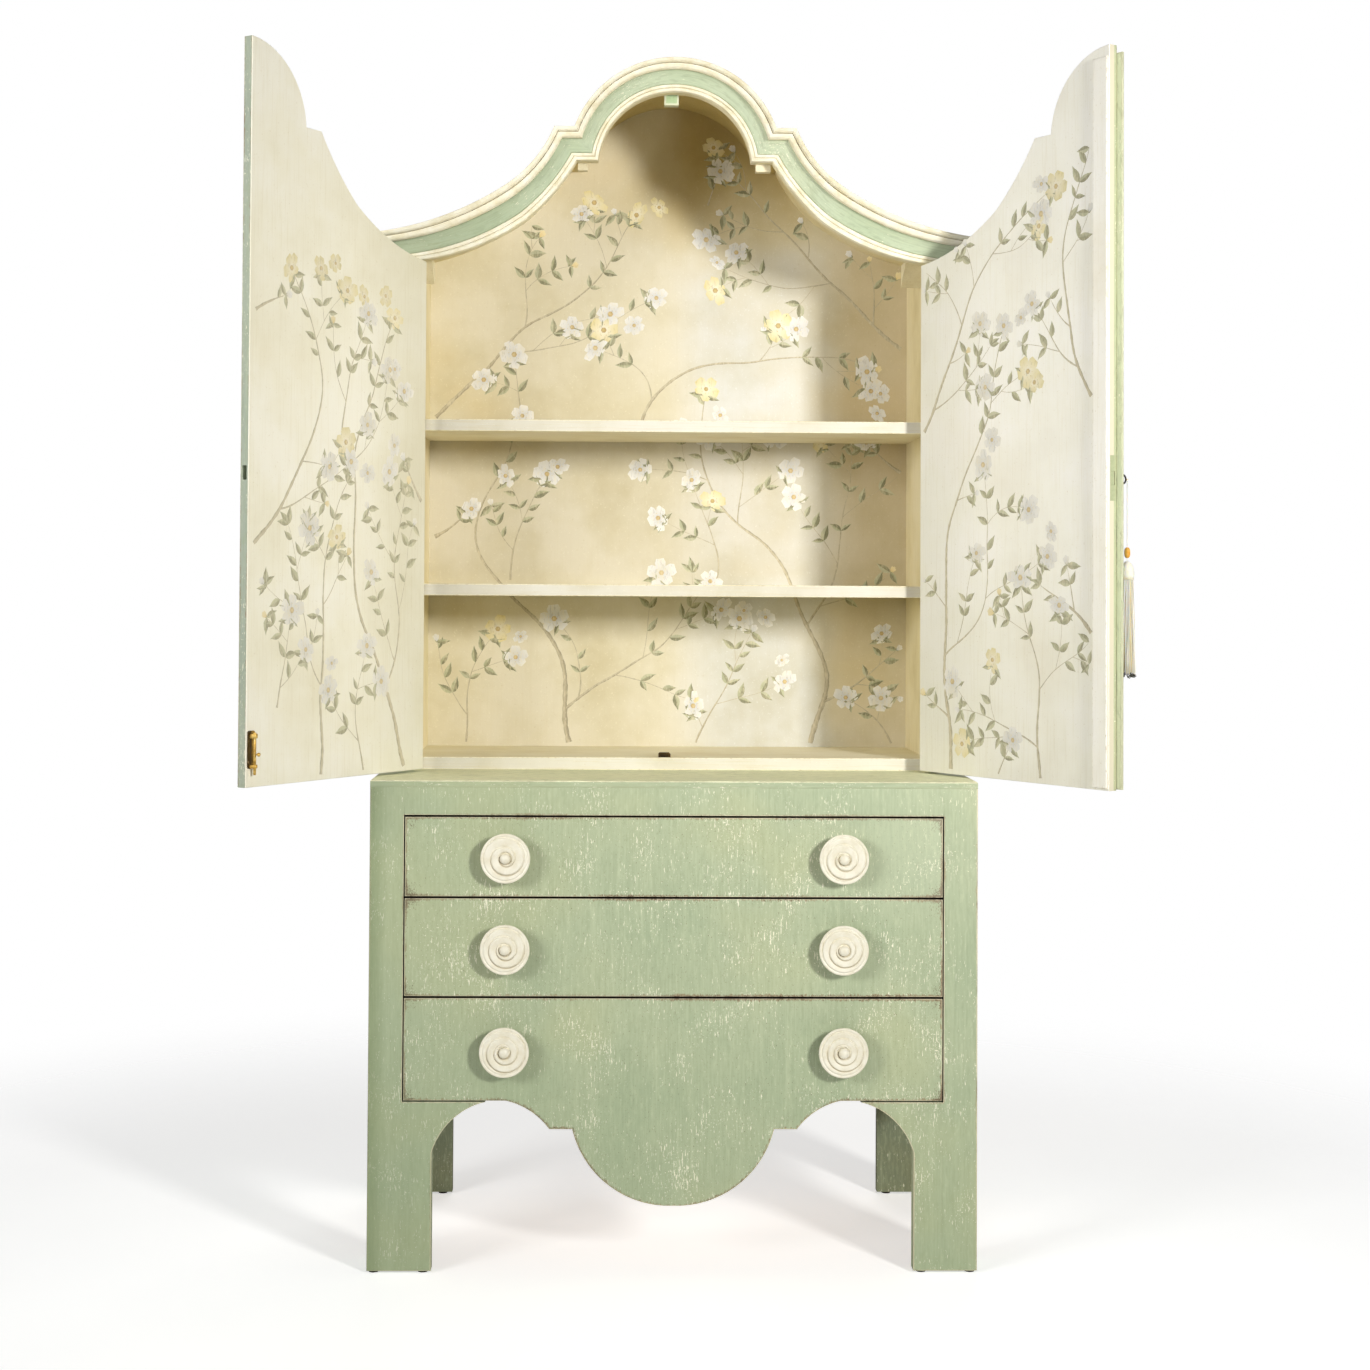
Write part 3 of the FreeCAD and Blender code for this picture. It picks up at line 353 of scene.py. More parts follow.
def cream_paint(name, a="#E4DAB4", b="#EDE3C4", c="#DCCFA3", grain="z", wear=False,
                stain=0.35, streak=0.35, rough=0.6, painted_light_and_bare_back=False, hinge=None):
    """Aged cream paint with fine mottling, faint vertical strokes and warm stains."""
    t = Tree(name, rough=rough, spec=0.3)
    s = AX_SCALE[grain]
    fine = t.noise(t.coords((260.0 * s[0], 260.0 * s[1], 260.0 * s[2])), 1.0, 3.0, 0.65)
    dots = t.noise(t.coords((1, 1, 1)), 230.0, 2.0, 0.6)
    cloud = t.noise(t.coords((1, 1, 1), shift=(1.1, 2.3, 0.6)), 5.0, 4.0, 0.6)
    warm = t.noise(t.coords((1, 1, 1), shift=(4.1, 0.3, 3.6)), 2.6, 3.0, 0.6)
    col = t.ramp(cloud, [(0.33, lin(c)), (0.47, lin(a)), (0.62, lin(b))])
    col = t.mix(t.math("MULTIPLY", t.step(warm, 0.52, 0.72), stain), col, lin("#DCC998"))
    col = t.mix(t.math("MULTIPLY", t.step(fine, 0.52, 0.28), streak), col, lin("#D2C49A"))
    col = t.mix(t.math("MULTIPLY", t.step(dots, 0.60, 0.76), 0.35), col, lin("#F5EFD9"))
    col = t.mix(t.math("MULTIPLY", t.step(dots, 0.36, 0.24), 0.30), col, lin("#C6B489"))
    if hinge is not None:
        # darker towards the hinges, and on the right door also towards the bottom
        axis, org = hinge
        sub = t.nt.nodes.new("ShaderNodeVectorMath")
        sub.operation = "SUBTRACT"
        t.nt.links.new(t.coords((1, 1, 1)), sub.inputs[0])
        sub.inputs[1].default_value = org
        dot = t.nt.nodes.new("ShaderNodeVectorMath")
        dot.operation = "DOT_PRODUCT"
        t.nt.links.new(sub.outputs[0], dot.inputs[0])
        dot.inputs[1].default_value = axis
        col = t.mix(t.step(dot.outputs["Value"], 0.24, 0.0), col, t.mix(1.0, col, (0.86, 0.86, 0.84, 1.0), "MULTIPLY"))
        if org[0] > 0:
            col = t.mix(t.step(t.position_axis(2), 1.45, 1.05), col, t.mix(1.0, col, (0.95, 0.945, 0.915, 1.0), "MULTIPLY"))
    if painted_light_and_bare_back:
        # painted shadow: darker and browner up in the arch and along the right
        wob = t.math("MULTIPLY", t.math("SUBTRACT", warm, 0.5), 0.10)
        px = t.math("ADD", t.position_axis(0), wob)
        pz = t.math("ADD", t.position_axis(2), wob)
        arch_painted_shadow = t.math("MULTIPLY", t.step(pz, 1.95, 2.17), t.math("ADD", t.math("MULTIPLY", t.step(px, -0.05, 0.07), 0.82), 0.18))
        col = t.mix(arch_painted_shadow, col, t.mix(1.0, col, (0.70, 0.60, 0.36, 1.0), "MULTIPLY"))
        # painted shade: the middle bay a little darker and greyer
        bay_painted_shade = t.math("MULTIPLY", t.step(t.position_axis(2), 1.24, 1.30), t.step(t.position_axis(2), 1.64, 1.57))
        col = t.mix(bay_painted_shade, col, t.mix(1.0, col, (0.925, 0.925, 0.94, 1.0), "MULTIPLY"))
        # painted light: paler in the middle of the right half
        pale_painted_light = t.math("MULTIPLY", t.step(px, -0.03, 0.13), t.step(px, 0.40, 0.28))
        pale_painted_light = t.math("MULTIPLY", pale_painted_light, t.step(pz, 2.02, 1.90))
        pale_painted_light = t.math("MULTIPLY", pale_painted_light, t.math("SUBTRACT", 1.0, t.math("MULTIPLY", bay_painted_shade, 0.5)))
        col = t.mix(pale_painted_light, col, t.mix(1.0, col, (0.945, 1.02, 1.27, 1.0), "MULTIPLY"))
        # painted shadow along the right, stronger higher up
        side_ = t.math("MULTIPLY", t.step(px, 0.31, 0.41), t.math("ADD", t.math("MULTIPLY", t.step(pz, 1.05, 1.45), 0.6), 0.4))
        col = t.mix(side_, col, t.mix(1.0, col, (0.85, 0.79, 0.69, 1.0), "MULTIPLY"))
        # bare boards on the outside
        brd = t.noise(t.coords((66.0, 66.0, 2.0)), 1.0, 3.0, 0.55, 0.3)
        raw = t.ramp(brd, [(0.36, lin("#99784D")), (0.52, lin("#A78659")), (0.66, lin("#B29265"))])
        col = t.mix(t.step(t.normal_axis(1), 0.3, 0.6), col, raw)
    if wear:
        e = t.attr("edge")
        rag = t.noise(t.coords((120.0, 120.0, 120.0)), 1.0, 3.0, 0.7)
        m = t.math("ADD", t.math("MULTIPLY", t.step(e, 5.0, 0.0), 0.45), t.math("MULTIPLY", rag, 0.6))
        col = t.mix(t.math("MULTIPLY", t.step(m, 0.72, 0.92), 0.55), col, lin("#B79F74"))
    t.colour(col)
    t.rough(t.math("ADD", t.math("MULTIPLY", cloud, 0.15), rough - 0.08))
    t.normal(t.bump(t.math("ADD", fine, dots), 0.0002, 0.6))
    MATS[name] = t.mat
    return t.mat


def wood(name, light="#C9A36B", dark="#BE9862", grain="y", rough=0.62, high="#D1AE76", line="#A27C4A"):
    t = Tree(name, rough=rough, spec=0.25)
    sc = {"y": (1.0, 0.03, 1.0), "x": (0.03, 1.0, 1.0), "z": (1.0, 1.0, 0.03)}[grain]
    rings = t.noise(t.coords(tuple(66.0 * v for v in sc)), 1.0, 3.0, 0.55, 0.3)
    fine = t.noise(t.coords(tuple(420.0 * v for v in sc)), 1.0, 2.0, 0.6)
    col = t.ramp(rings, [(0.36, lin(dark)), (0.52, lin(light)), (0.66, lin(high))])
    col = t.mix(t.math("MULTIPLY", t.step(fine, 0.48, 0.3), 0.35), col, lin(line))
    t.colour(col)
    t.rough(t.math("ADD", t.math("MULTIPLY", fine, 0.2), rough - 0.1))
    t.normal(t.bump(fine, 0.0002, 0.6))
    MATS[name] = t.mat
    return t.mat


def brass(name, tone="#8A6A32", dull="#4A3A22", rough=0.36):
    t = Tree(name, rough=rough, spec=0.5)
    n = t.noise(t.coords((1, 1, 1)), 160.0, 4.0, 0.6)
    n2 = t.noise(t.coords((1, 1, 1)), 40.0, 3.0, 0.6)
    col = t.ramp(n2, [(0.38, lin(dull)), (0.55, lin(tone)), (0.72, lin("#B08F4C"))])
    col = t.mix(t.math("MULTIPLY", t.step(n, 0.55, 0.36), 0.5), col, lin("#3A2E1C"))
    t.colour(col)
    t.bsdf.inputs["Metallic"].default_value = 0.85
    t.rough(t.math("ADD", t.math("MULTIPLY", n, 0.35), rough - 0.1))
    t.normal(t.bump(n, 0.0001, 0.5))
    MATS[name] = t.mat
    return t.mat


C_OPEN = math.cos(math.radians(123.2))
S_OPEN = math.sin(math.radians(123.2))
green_paint("sage_front", "z", base=("#A9B594", "#B0BA99", "#B6BD98"), left_painted_shade=0.33, low_painted_shade=0.30, end_shade=0.5,
            right_painted_light=0.10)
green_paint("sage_lip", "x", base=("#A9B594", "#B0BA99", "#B6BD98"), left_painted_shade=0.33, rub=0.10, dirt=0.10)
green_paint("sage_drawer", "z", base=("#A9B594", "#B0BA99", "#B6BD98"), corners=True, wear_w=10.0, left_painted_shade=0.26,
            low_painted_shade=0.22, rub=0.6, right_painted_light=0.22)
green_paint("sage_side", "z")
green_paint("sage_edge", "z", base=("#B3BA93", "#B8BF9A", "#BCC09A"), rub=0.3, dirt=0.22,
            lining=((-S_OPEN, C_OPEN, 0.0), (0.4995, 0.044, 0.0), 9.0, 13.5))
green_paint("sage_pale", "z", base=("#D0D6B2", "#D6DDBA", "#DADFBC"), rub=0.12, dirt=0.25)
green_paint("sage_cool", "z", base=("#A0A998", "#A6AE9C", "#ABB29E"))
green_paint("sage_top", "x", base=("#E9ECC6", "#EFF1CD", "#F1F2CE"), wear_w=9.0, rub=0.12, dirt=0.28)
green_paint("sage_curve", "uv", wear=False, kind="UV", base=("#B9C6A6", "#C1CCAF", "#C9D1B2"), left_painted_shade=0.46)
# painted shade: a much darker copy of the sage paint for the back legs
green_paint("sage_leg_painted_shade", "z", wear=False, base=("#757F68", "#7E876C", "#858B6C"))
cream_paint("cream_back", "#D9D0B3", "#E1D9C1", "#CFC4A2", stain=0.40, streak=0.10, painted_light_and_bare_back=True)
cream_paint("cream_left", "#F2EDD8", "#F6F2E2", "#ECE6CE", stain=0.16, streak=0.16,
            hinge=((C_OPEN, -S_OPEN, 0.0), (-0.4995, 0.044, 0.0)))
# painted light: the right door's cream is paler than the left door's, standing in for light it lacks
cream_paint("cream_right", "#F8F5E8", "#FBF8EF", "#F3EFE1", stain=0.10, streak=0.14,
            hinge=((-C_OPEN, -S_OPEN, 0.0), (0.4995, 0.044, 0.0)))
cream_paint("cream_shelf", "#F3EBCE", "#F7F0D8", "#EADFBD", grain="x", wear=True, stain=0.25)
cream_paint("cream_edge", "#DAD4C2", "#DFDACB", "#D1CAB3", grain="x", wear=True, stain=0.15)
cream_paint("cream_strip", "#FAF6E9", "#FCF9F0", "#F4EEDD", stain=0.1, wear=True, streak=0.15)
cream_paint("cream_rim", "#E9E2CF", "#EDE7D6", "#E2DAC4", stain=0.1, wear=False, streak=0.15)
cream_paint("cream_side", "#E6DDBE", "#EDE5CB", "#DCD1AE", stain=0.3, streak=0.2)
wood("pine_box", grain="y")
wood("pine_cross", grain="x")
wood("pine_dark", "#A78659", "#99784D", grain="x", high="#B29265", line="#836440")
brass("aged_brass")
brass("dark_brass", "#5E4826", "#2E2417", 0.42)
for gname, rod_shadow_painted in (("gold_brass", False), ("brass_rod_shadow", True)):
    t = Tree(gname, rough=0.34, spec=0.6)
    n = t.noise(t.coords((1, 1, 1)), 150.0, 4.0, 0.6)
    n2 = t.noise(t.coords((1, 1, 1)), 42.0, 3.0, 0.6)
    col = t.ramp(n2, [(0.36, lin("#A07C30")), (0.52, lin("#D2A648")), (0.70, lin("#EBCB74"))])
    col = t.mix(t.math("MULTIPLY", t.step(n, 0.54, 0.36), 0.45), col, lin("#6A4C1E"))
    # painted shadow: the half of the plate beyond the rod is painted dark
    if rod_shadow_painted:
        sub = t.nt.nodes.new("ShaderNodeVectorMath")
        sub.operation = "SUBTRACT"
        t.nt.links.new(t.coords((1, 1, 1)), sub.inputs[0])
        sub.inputs[1].default_value = (-0.4995, 0.044, 0.0)
        dot = t.nt.nodes.new("ShaderNodeVectorMath")
        dot.operation = "DOT_PRODUCT"
        t.nt.links.new(sub.outputs[0], dot.inputs[0])
        dot.inputs[1].default_value = (C_OPEN, -S_OPEN, 0.0)
        where = t.math("ADD", dot.outputs["Value"], t.math("MULTIPLY", t.math("SUBTRACT", n2, 0.5), 0.006))
        col = t.mix(t.math("MULTIPLY", t.step(where, 0.4835, 0.4875), 0.9), col, lin("#2A1C0A"))
    t.colour(col)
    t.bsdf.inputs["Metallic"].default_value = 0.40
    t.rough(t.math("ADD", t.math("MULTIPLY", n, 0.3), 0.26))
    t.normal(t.bump(n, 0.0001, 0.5))
    MATS[gname] = t.mat


# =============================================================== mesh tools
def DL(a, b, z):
    return Vector(((-499.5 + a * C_OPEN + b * S_OPEN) / 1000.0,
                   (214.5 - a * S_OPEN + b * C_OPEN - 170.5) / 1000.0, z / 1000.0))


def DR(a, b, z):
    p = DL(a, b, z)
    return Vector((-p.x, p.y, p.z))


def P(x, y, z):
    return Vector((x / 1000.0, (y - 170.5) / 1000.0, z / 1000.0))


def circle3(p, m, r):
    (x1, y1), (x2, y2), (x3, y3) = p, m, r
    d = 2 * (x1 * (y2 - y3) + x2 * (y3 - y1) + x3 * (y1 - y2))
    ux = ((x1**2 + y1**2) * (y2 - y3) + (x2**2 + y2**2) * (y3 - y1) + (x3**2 + y3**2) * (y1 - y2)) / d
    uy = ((x1**2 + y1**2) * (x3 - x2) + (x2**2 + y2**2) * (x1 - x3) + (x3**2 + y3**2) * (x2 - x1)) / d
    return ux, uy, math.hypot(x1 - ux, y1 - uy)


def arc(p, m, q, step=4.0, count=None):
    """Points of the arc p-m-q, without p, with q."""
    cx, cy, r = circle3(p, m, q)
    a0 = math.atan2(p[1] - cy, p[0] - cx)
    a1 = math.atan2(q[1] - cy, q[0] - cx)
    ccw = ((m[0] - p[0]) * (q[1] - p[1]) - (m[1] - p[1]) * (q[0] - p[0])) > 0
    if ccw and a1 < a0:
        a1 += 2 * math.pi
    if not ccw and a1 > a0:
        a1 -= 2 * math.pi
    n = count or max(3, int(abs(a1 - a0) * r / step))
    return [(cx + r * math.cos(a0 + (a1 - a0) * i / n), cy + r * math.sin(a0 + (a1 - a0) * i / n))
            for i in range(1, n + 1)]


def lerp(a, b, f):
    return a + (b - a) * f


IN_A, IN_B = (229.5, 2031.5), (386.0, 1917.5)
OUT_A, OUT_B = (268.0, 2086.0), (440.0, 1972.5)
ARCH_Z = 2073.0


def half_profile(f, xend, n_arch=30, n_a=16, n_b=22):
    """Right half of the stepped arch at f, apex first: (x, z) with a fixed count."""
    r = lerp(150.0, 208.0, f)
    zl = lerp(2087.0, 2145.0, f)
    xb = lerp(191.0, 234.0, f)
    xm, zm = lerp(290.0, 330.0, f), lerp(1969.0, 2029.0, f)
    ze = lerp(1889.0, 1938.0, f)
    ma = (lerp(IN_A[0], OUT_A[0], f), lerp(IN_A[1], OUT_A[1], f))
    mb = (lerp(IN_B[0], OUT_B[0], f), lerp(IN_B[1], OUT_B[1], f))
    nat = lerp(499.0, 572.0, f)
    cx, cz, cr = circle3((xm, zm), mb, (nat, ze))
    xa = math.sqrt(r * r - (zl - ARCH_Z) ** 2)
    t_end = math.atan2(zl - ARCH_Z, xa)
    pts = []
    for i in range(n_arch + 1):
        t = math.pi / 2 + (t_end - math.pi / 2) * i / n_arch
        pts.append((r * math.cos(t), ARCH_Z + r * math.sin(t)))
    pts.append((0.5 * (xa + xb), zl))
    pts.append((xb, zl))
    pts += arc((xb, zl), ma, (xm, zm), count=n_a)
    xe = min(nat, xend - 1.0)
    a0 = math.atan2(zm - cz, xm - cx)
    a1 = math.atan2(-math.sqrt(max(cr * cr - (xe - cx) ** 2, 0.0)), xe - cx)
    if a0 < 0 and a0 < -math.pi:
        a0 += 2 * math.pi
    if a0 > 0:
        a0 -= 2 * math.pi
    for i in range(1, n_b + 1):
        a = a0 + (a1 - a0) * i / n_b
        pts.append((cx + cr * math.cos(a), cz + cr * math.sin(a)))
    zz = ze if xend > nat else cz - math.sqrt(max(cr * cr - (xend - cx) ** 2, 0.0))
    pts.append((xend, zz))
    return pts


def full_profile(f, xend, **k):
    h = half_profile(f, xend, **k)
    return [(-x, z) for x, z in reversed(h[1:])] + h


def link(name, me):
    o = bpy.data.objects.new(name, me)
    SCENE.collection.objects.link(o)
    return o


def finish_bm(bm, name, mats, body, replaces=(), smooth=40.0, recalc=True):
    if recalc:
        bmesh.ops.recalc_face_normals(bm, faces=bm.faces[:])
    me = bpy.data.meshes.new(name)
    bm.to_mesh(me)
    bm.free()
    for m in mats:
        me.materials.append(MATS[m] if isinstance(m, str) else m)
    for p in me.polygons:
        p.use_smooth = True
    if smooth is not None:
        me.set_sharp_from_angle(angle=math.radians(smooth))
    o = link(name, me)
    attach(o, body)
    if replaces:
        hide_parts(*replaces)
    return o


def dense(outline, radii, marks=(2.5, 5.0, 10.0, 20.0)):
    """Adds points near the ends of straight runs so that the wear fades evenly."""
    pts, rr = [], []
    n = len(outline)
    for i in range(n):
        a, b = outline[i], outline[(i + 1) % n]
        pts.append(a)
        rr.append(radii[i])
        L = math.hypot(b[0] - a[0], b[1] - a[1])
        if L > 60.0:
            ds = [d for d in marks] + [L - d for d in reversed(marks)]
            extra = int(L // 90)
            mid = [20.0 + (L - 40.0) * k / (extra + 1) for k in range(1, extra + 1)]
            ds = sorted(ds + mid)
            for d in ds:
                f = d / L
                pts.append((a[0] + (b[0] - a[0]) * f, a[1] + (b[1] - a[1]) * f))
                rr.append(radii[i])
        elif L > 16.0:
            for f in (0.25, 0.5, 0.75):
                pts.append((a[0] + (b[0] - a[0]) * f, a[1] + (b[1] - a[1]) * f))
                rr.append(radii[i])
    return pts, rr


def seg_dist(p, a, b):
    """Distances of points p (n,2) to segments a-b (m,2): n,m."""
    d = b - a
    L = (d ** 2).sum(1)
    L[L == 0] = 1e-12
    t = ((p[:, None, :] - a[None]) * d[None]).sum(2) / L[None]
    t = np.clip(t, 0, 1)
    c = a[None] + t[..., None] * d[None]
    return np.sqrt(((p[:, None, :] - c) ** 2).sum(2))


def plate(name, outline, t0, t1, mapf, body, mats, radii=1.3, replaces=(),
          back_r=None, pockets=(), holes=(), add_marks=True, wall_marks=(2.5, 5.0),
          relax=None, smooth=40.0):
    """A board with rounded arrises. outline: (u, v) millimetres, one radius per edge
    (edge i runs from point i to i + 1; up to 0.3 marks a joint that isn't seen).
    t0 is the front face's depth and t1 the back's. mats: front, back, wall."""
    n = len(outline)
    radii = [radii] * n if not hasattr(radii, "__len__") else list(radii)
    area2 = sum(outline[i][0] * outline[(i + 1) % n][1] - outline[(i + 1) % n][0] * outline[i][1]
                for i in range(n))
    if area2 < 0:
        outline = list(reversed(outline))
        radii = [radii[(n - 2 - i) % n] for i in range(n)]
    pts, rr = dense(outline, radii) if add_marks else (list(outline), list(radii))
    n = len(pts)
    A = np.array(pts, float)
    B = np.roll(A, -1, axis=0)
    D = B - A
    D /= np.linalg.norm(D, axis=1)[:, None]
    N = np.stack([-D[:, 1], D[:, 0]], 1)          # inward for a CCW outline
    R = np.array(rr, float)
    act = R > 0.3

    def inset(scale, rad):
        out = []
        for i in range(n):
            j = (i - 1) % n
            n1, n2, d1, d2 = N[j], N[i], rad[j] * scale, rad[i] * scale
            det = n1[0] * n2[1] - n1[1] * n2[0]
            if abs(det) < 0.03:
                nn = n1 + n2
                nn /= np.linalg.norm(nn)
                out.append(A[i] + nn * 0.5 * (d1 + d2))
            else:
                out.append(A[i] + np.array([(d1 * n2[1] - d2 * n1[1]) / det, (n1[0] * d2 - n2[0] * d1) / det]))
        return np.array(out)
    RB = R if back_r is None else np.where(act, back_r, R)
    rv = np.maximum(R, np.roll(R, 1))
    rvb = np.maximum(RB, np.roll(RB, 1))
    T = abs(t1 - t0)
    sgn = 1.0 if t1 > t0 else -1.0
    phis = [0.0, 22.5, 45.0, 67.5, 90.0]
    levels = []                                   # (positions n,2 ; depth n ; kind)
    for ph in phis:
        a = math.radians(ph)
        levels.append((inset(1 - math.sin(a), R), rv * (1 - math.cos(a)), 0))
    cuts = sorted(set([d for d in wall_marks if d < T * 0.45] + [T - d for d in wall_marks if d < T * 0.45]
                      + [p["t"][0] for p in pockets] + [p["t"][1] for p in pockets]))
    for d in cuts:
        levels.append((A.copy(), np.full(n, d), 2))
    for ph in reversed(phis):
        a = math.radians(ph)
        levels.append((inset(1 - math.sin(a), RB), T - rvb * (1 - math.cos(a)), 1))
    bm = bmesh.new()
    lay = bm.verts.layers.float.new("edge")

    def vert(u, v, d, e):
        w = bm.verts.new(mapf(u, v, t0 + sgn * d))
        w[lay] = e
        return w
    if act.any():
        dist = seg_dist(A, A[act], B[act]).min(1)
    else:
        dist = np.full(n, 30.0)
    rows = []
    for pos, dep, kind in levels:
        row = []
        for i in range(n):
            e = max(dist[i], min(dep[i], T - dep[i]) if kind == 2 else 0.0)
            row.append(vert(pos[i][0], pos[i][1], dep[i], float(e)))
        rows.append(row)
    nf = len(phis)
    taken = set()
    for pk in pockets:
        (u0, u1), (v0, v1), (d0, d1) = pk["u"], pk["v"], pk["t"]
        for i in range(n):
            j = (i + 1) % n
            ok = all(u0 - .01 <= A[k][0] <= u1 + .01 and v0 - .01 <= A[k][1] <= v1 + .01 for k in (i, j))
            if ok and abs(A[i][0] - A[j][0]) < 0.01:
                for L in range(nf - 1, nf + len(cuts)):
                    da, db = levels[L][1][i], levels[L + 1][1][i]
                    if da >= d0 - 0.01 and db <= d1 + 0.01:
                        taken.add((L, i, pk["deep"]))
    skip = set((a, b) for a, b, c in taken)
    for L in range(len(rows) - 1):
        kind = 0 if L < nf - 1 else (1 if L >= len(rows) - nf else 2)
        for i in range(n):
            j = (i + 1) % n
            if (L, i) in skip:
                continue
            q = (rows[L][i], rows[L][j], rows[L + 1][j], rows[L + 1][i])
            try:
                f = bm.faces.new(q)
                f.material_index = kind
            except ValueError:
                pass
    # pockets: floor and sides
    cache = {}

    def deepv(L, i, deep, nn):
        key = (L, i)
        if key not in cache:
            p = levels[L][0][i] + nn * deep
            cache[key] = vert(p[0], p[1], levels[L][1][i], 20.0)
        return cache[key]
    for L, i, deep in taken:
        j = (i + 1) % n
        nn = N[i]
        a, b, c, d = deepv(L, i, deep, nn), deepv(L, j, deep, nn), deepv(L + 1, j, deep, nn), deepv(L + 1, i, deep, nn)
        bm.faces.new((a, b, c, d)).material_index = 2
        for (P0, P1, Q0, Q1, nb) in (((L, i), (L, j), a, b, (L - 1, i)), ((L + 1, i), (L + 1, j), d, c, (L + 1, i)),
                                     ((L, i), (L + 1, i), a, d, (L, (i - 1) % n)),
                                     ((L, j), (L + 1, j), b, c, (L, (i + 1) % n))):
            if nb in skip:
                continue
            bm.faces.new((rows[P0[0]][P0[1]], rows[P1[0]][P1[1]], Q1, Q0)).material_index = 2
    # faces: triangulated with rings of points that follow the edges
    inner_f = levels[0][0]
    inner_b = levels[-1][0]
    cand = []
    for off, st in ((2.5, 4.0), (5.0, 6.0), (10.0, 10.0), (20.0, 20.0)):
        for i in range(n):
            if not act[i]:
                continue
            L = float(np.linalg.norm(B[i] - A[i]))
            k = max(1, int(L / (st * 2.2)))
            for s in range(k):
                p = A[i] + D[i] * (L * (s + 0.5) / k) + N[i] * off
                cand.append((p[0], p[1], off))
            j = (i - 1) % n
            if act[j]:
                det = N[j][0] * N[i][1] - N[j][1] * N[i][0]
                if abs(det) > 0.25:
                    q = A[i] + np.array([(off * N[i][1] - off * N[j][1]) / det, (N[j][0] * off - N[i][0] * off) / det])
                    cand.append((q[0], q[1], off))
    lo, hi = A.min(0), A.max(0)
    gx = np.arange(lo[0] + 45, hi[0] - 30, 75.0)
    gy = np.arange(lo[1] + 45, hi[1] - 30, 75.0)
    for a in gx:
        for b in gy:
            cand.append((a, b, 28.0))
    if cand:
        cp = np.array(cand)
        dd = seg_dist(cp[:, :2], A, B)
        alld = dd.min(1)
        inside = np.array([_inside(p, A) for p in cp[:, :2]])
        keep = inside & (alld > cp[:, 2] * 0.94)
        cp, alld = cp[keep], alld[keep]
        # thin out points that crowd each other
        order = np.argsort(cp[:, 2])
        chosen, grid = [], {}
        for k in order:
            p = cp[k]
            cell = (int(p[0] // 3), int(p[1] // 3))
            near = False
            for dx in (-1, 0, 1):
                for dy in (-1, 0, 1):
                    for q in grid.get((cell[0] + dx, cell[1] + dy), ()):
                        if (p[0] - q[0]) ** 2 + (p[1] - q[1]) ** 2 < (0.55 * min(p[2], 5.0)) ** 2:
                            near = True
            if not near:
                chosen.append(k)
                grid.setdefault(cell, []).append(p)
        inner = cp[chosen][:, :2]
    else:
        inner = np.zeros((0, 2))
    hole_loops = []
    for hx, hy, hr, hd in holes:
        m = 20
        hole_loops.append([(hx + hr * math.cos(2 * math.pi * k / m), hy + hr * math.sin(2 * math.pi * k / m))
                           for k in range(m)])
        if len(inner):
            inner = inner[np.hypot(inner[:, 0] - hx, inner[:, 1] - hy) > hr + 1.0]
    for ring_i, rim, kind in ((0, inner_f, 0), (len(rows) - 1, inner_b, 1)):
        loops = hole_loops if kind == 0 else []
        flat = [tuple(p) for p in rim] + [tuple(p) for p in inner]
        base = len(flat)
        edges = [(i, (i + 1) % n) for i in range(n)]
        for lp in loops:
            s0 = len(flat)
            flat += lp
            edges += [(s0 + k, s0 + (k + 1) % len(lp)) for k in range(len(lp))]
        vs, es, fs, ov, oe, of = geometry.delaunay_2d_cdt([Vector(p) for p in flat], edges, [], 2, 1e-7, True)
        made = {}
        for k, v in enumerate(vs):
            src = ov[k][0] if ov[k] else None
            if src is not None and src < n:
                made[k] = rows[ring_i][src]
            else:
                dv = float(seg_dist(np.array([[v[0], v[1]]]), A[act], B[act]).min()) if act.any() else 30.0
                made[k] = vert(v[0], v[1], 0.0 if kind == 0 else T, min(dv, 60.0))
        for f in fs:
            cxy = (sum(vs[k][0] for k in f) / len(f), sum(vs[k][1] for k in f) / len(f))
            if not _inside(cxy, rim) or any(_inside(cxy, np.array(lp)) for lp in loops):
                continue
            try:
                bm.faces.new([made[k] for k in f]).material_index = kind
            except ValueError:
                pass
        if kind == 0:
            for lp, (hx, hy, hr, hd) in zip(loops, holes):
                ring = []
                for q in lp:
                    best = min(made.values(), key=lambda w: (w.co - mapf(q[0], q[1], t0)).length)
                    ring.append(best)
                low = [vert(q[0], q[1], hd, 0.5) for q in lp]
                for k in range(len(lp)):
                    bm.faces.new((ring[k], ring[(k + 1) % len(lp)], low[(k + 1) % len(lp)], low[k])).material_index = 2
                bm.faces.new(low).material_index = 2
    for v in [v for v in bm.verts if not v.link_faces]:
        bm.verts.remove(v)
    return finish_bm(bm, name, mats, body, replaces, smooth)


def _inside(p, poly):
    x, y = p[0], p[1]
    px, py = poly[:, 0], poly[:, 1]
    qx, qy = np.roll(px, -1), np.roll(py, -1)
    c = ((py > y) != (qy > y)) & (x < (qx - px) * (y - py) / (qy - py + 1e-300) + px)
    return bool(c.sum() & 1)


def outline_of(items, step=4.0):
    """Corners with ("arc", mid) between two of them; returns points and the index of
    the item that each edge belongs to."""
    pts, tag = [], []
    k = len(items)
    corners = [i for i in range(k) if items[i][0] != "arc"]
    for ci, i in enumerate(corners):
        a = items[i]
        nxt = items[(i + 1) % k]
        b = items[corners[(ci + 1) % len(corners)]]
        pts.append((float(a[0]), float(a[1])))
        tag.append(i)
        if nxt[0] == "arc":
            more = arc(a, nxt[1], b, step)[:-1]
            pts += more
            tag += [i] * len(more)
    return pts, tag


# ==================================================================== chest
FY = 0.0


def front_map(x, z, y):
    return P(x, y, z)


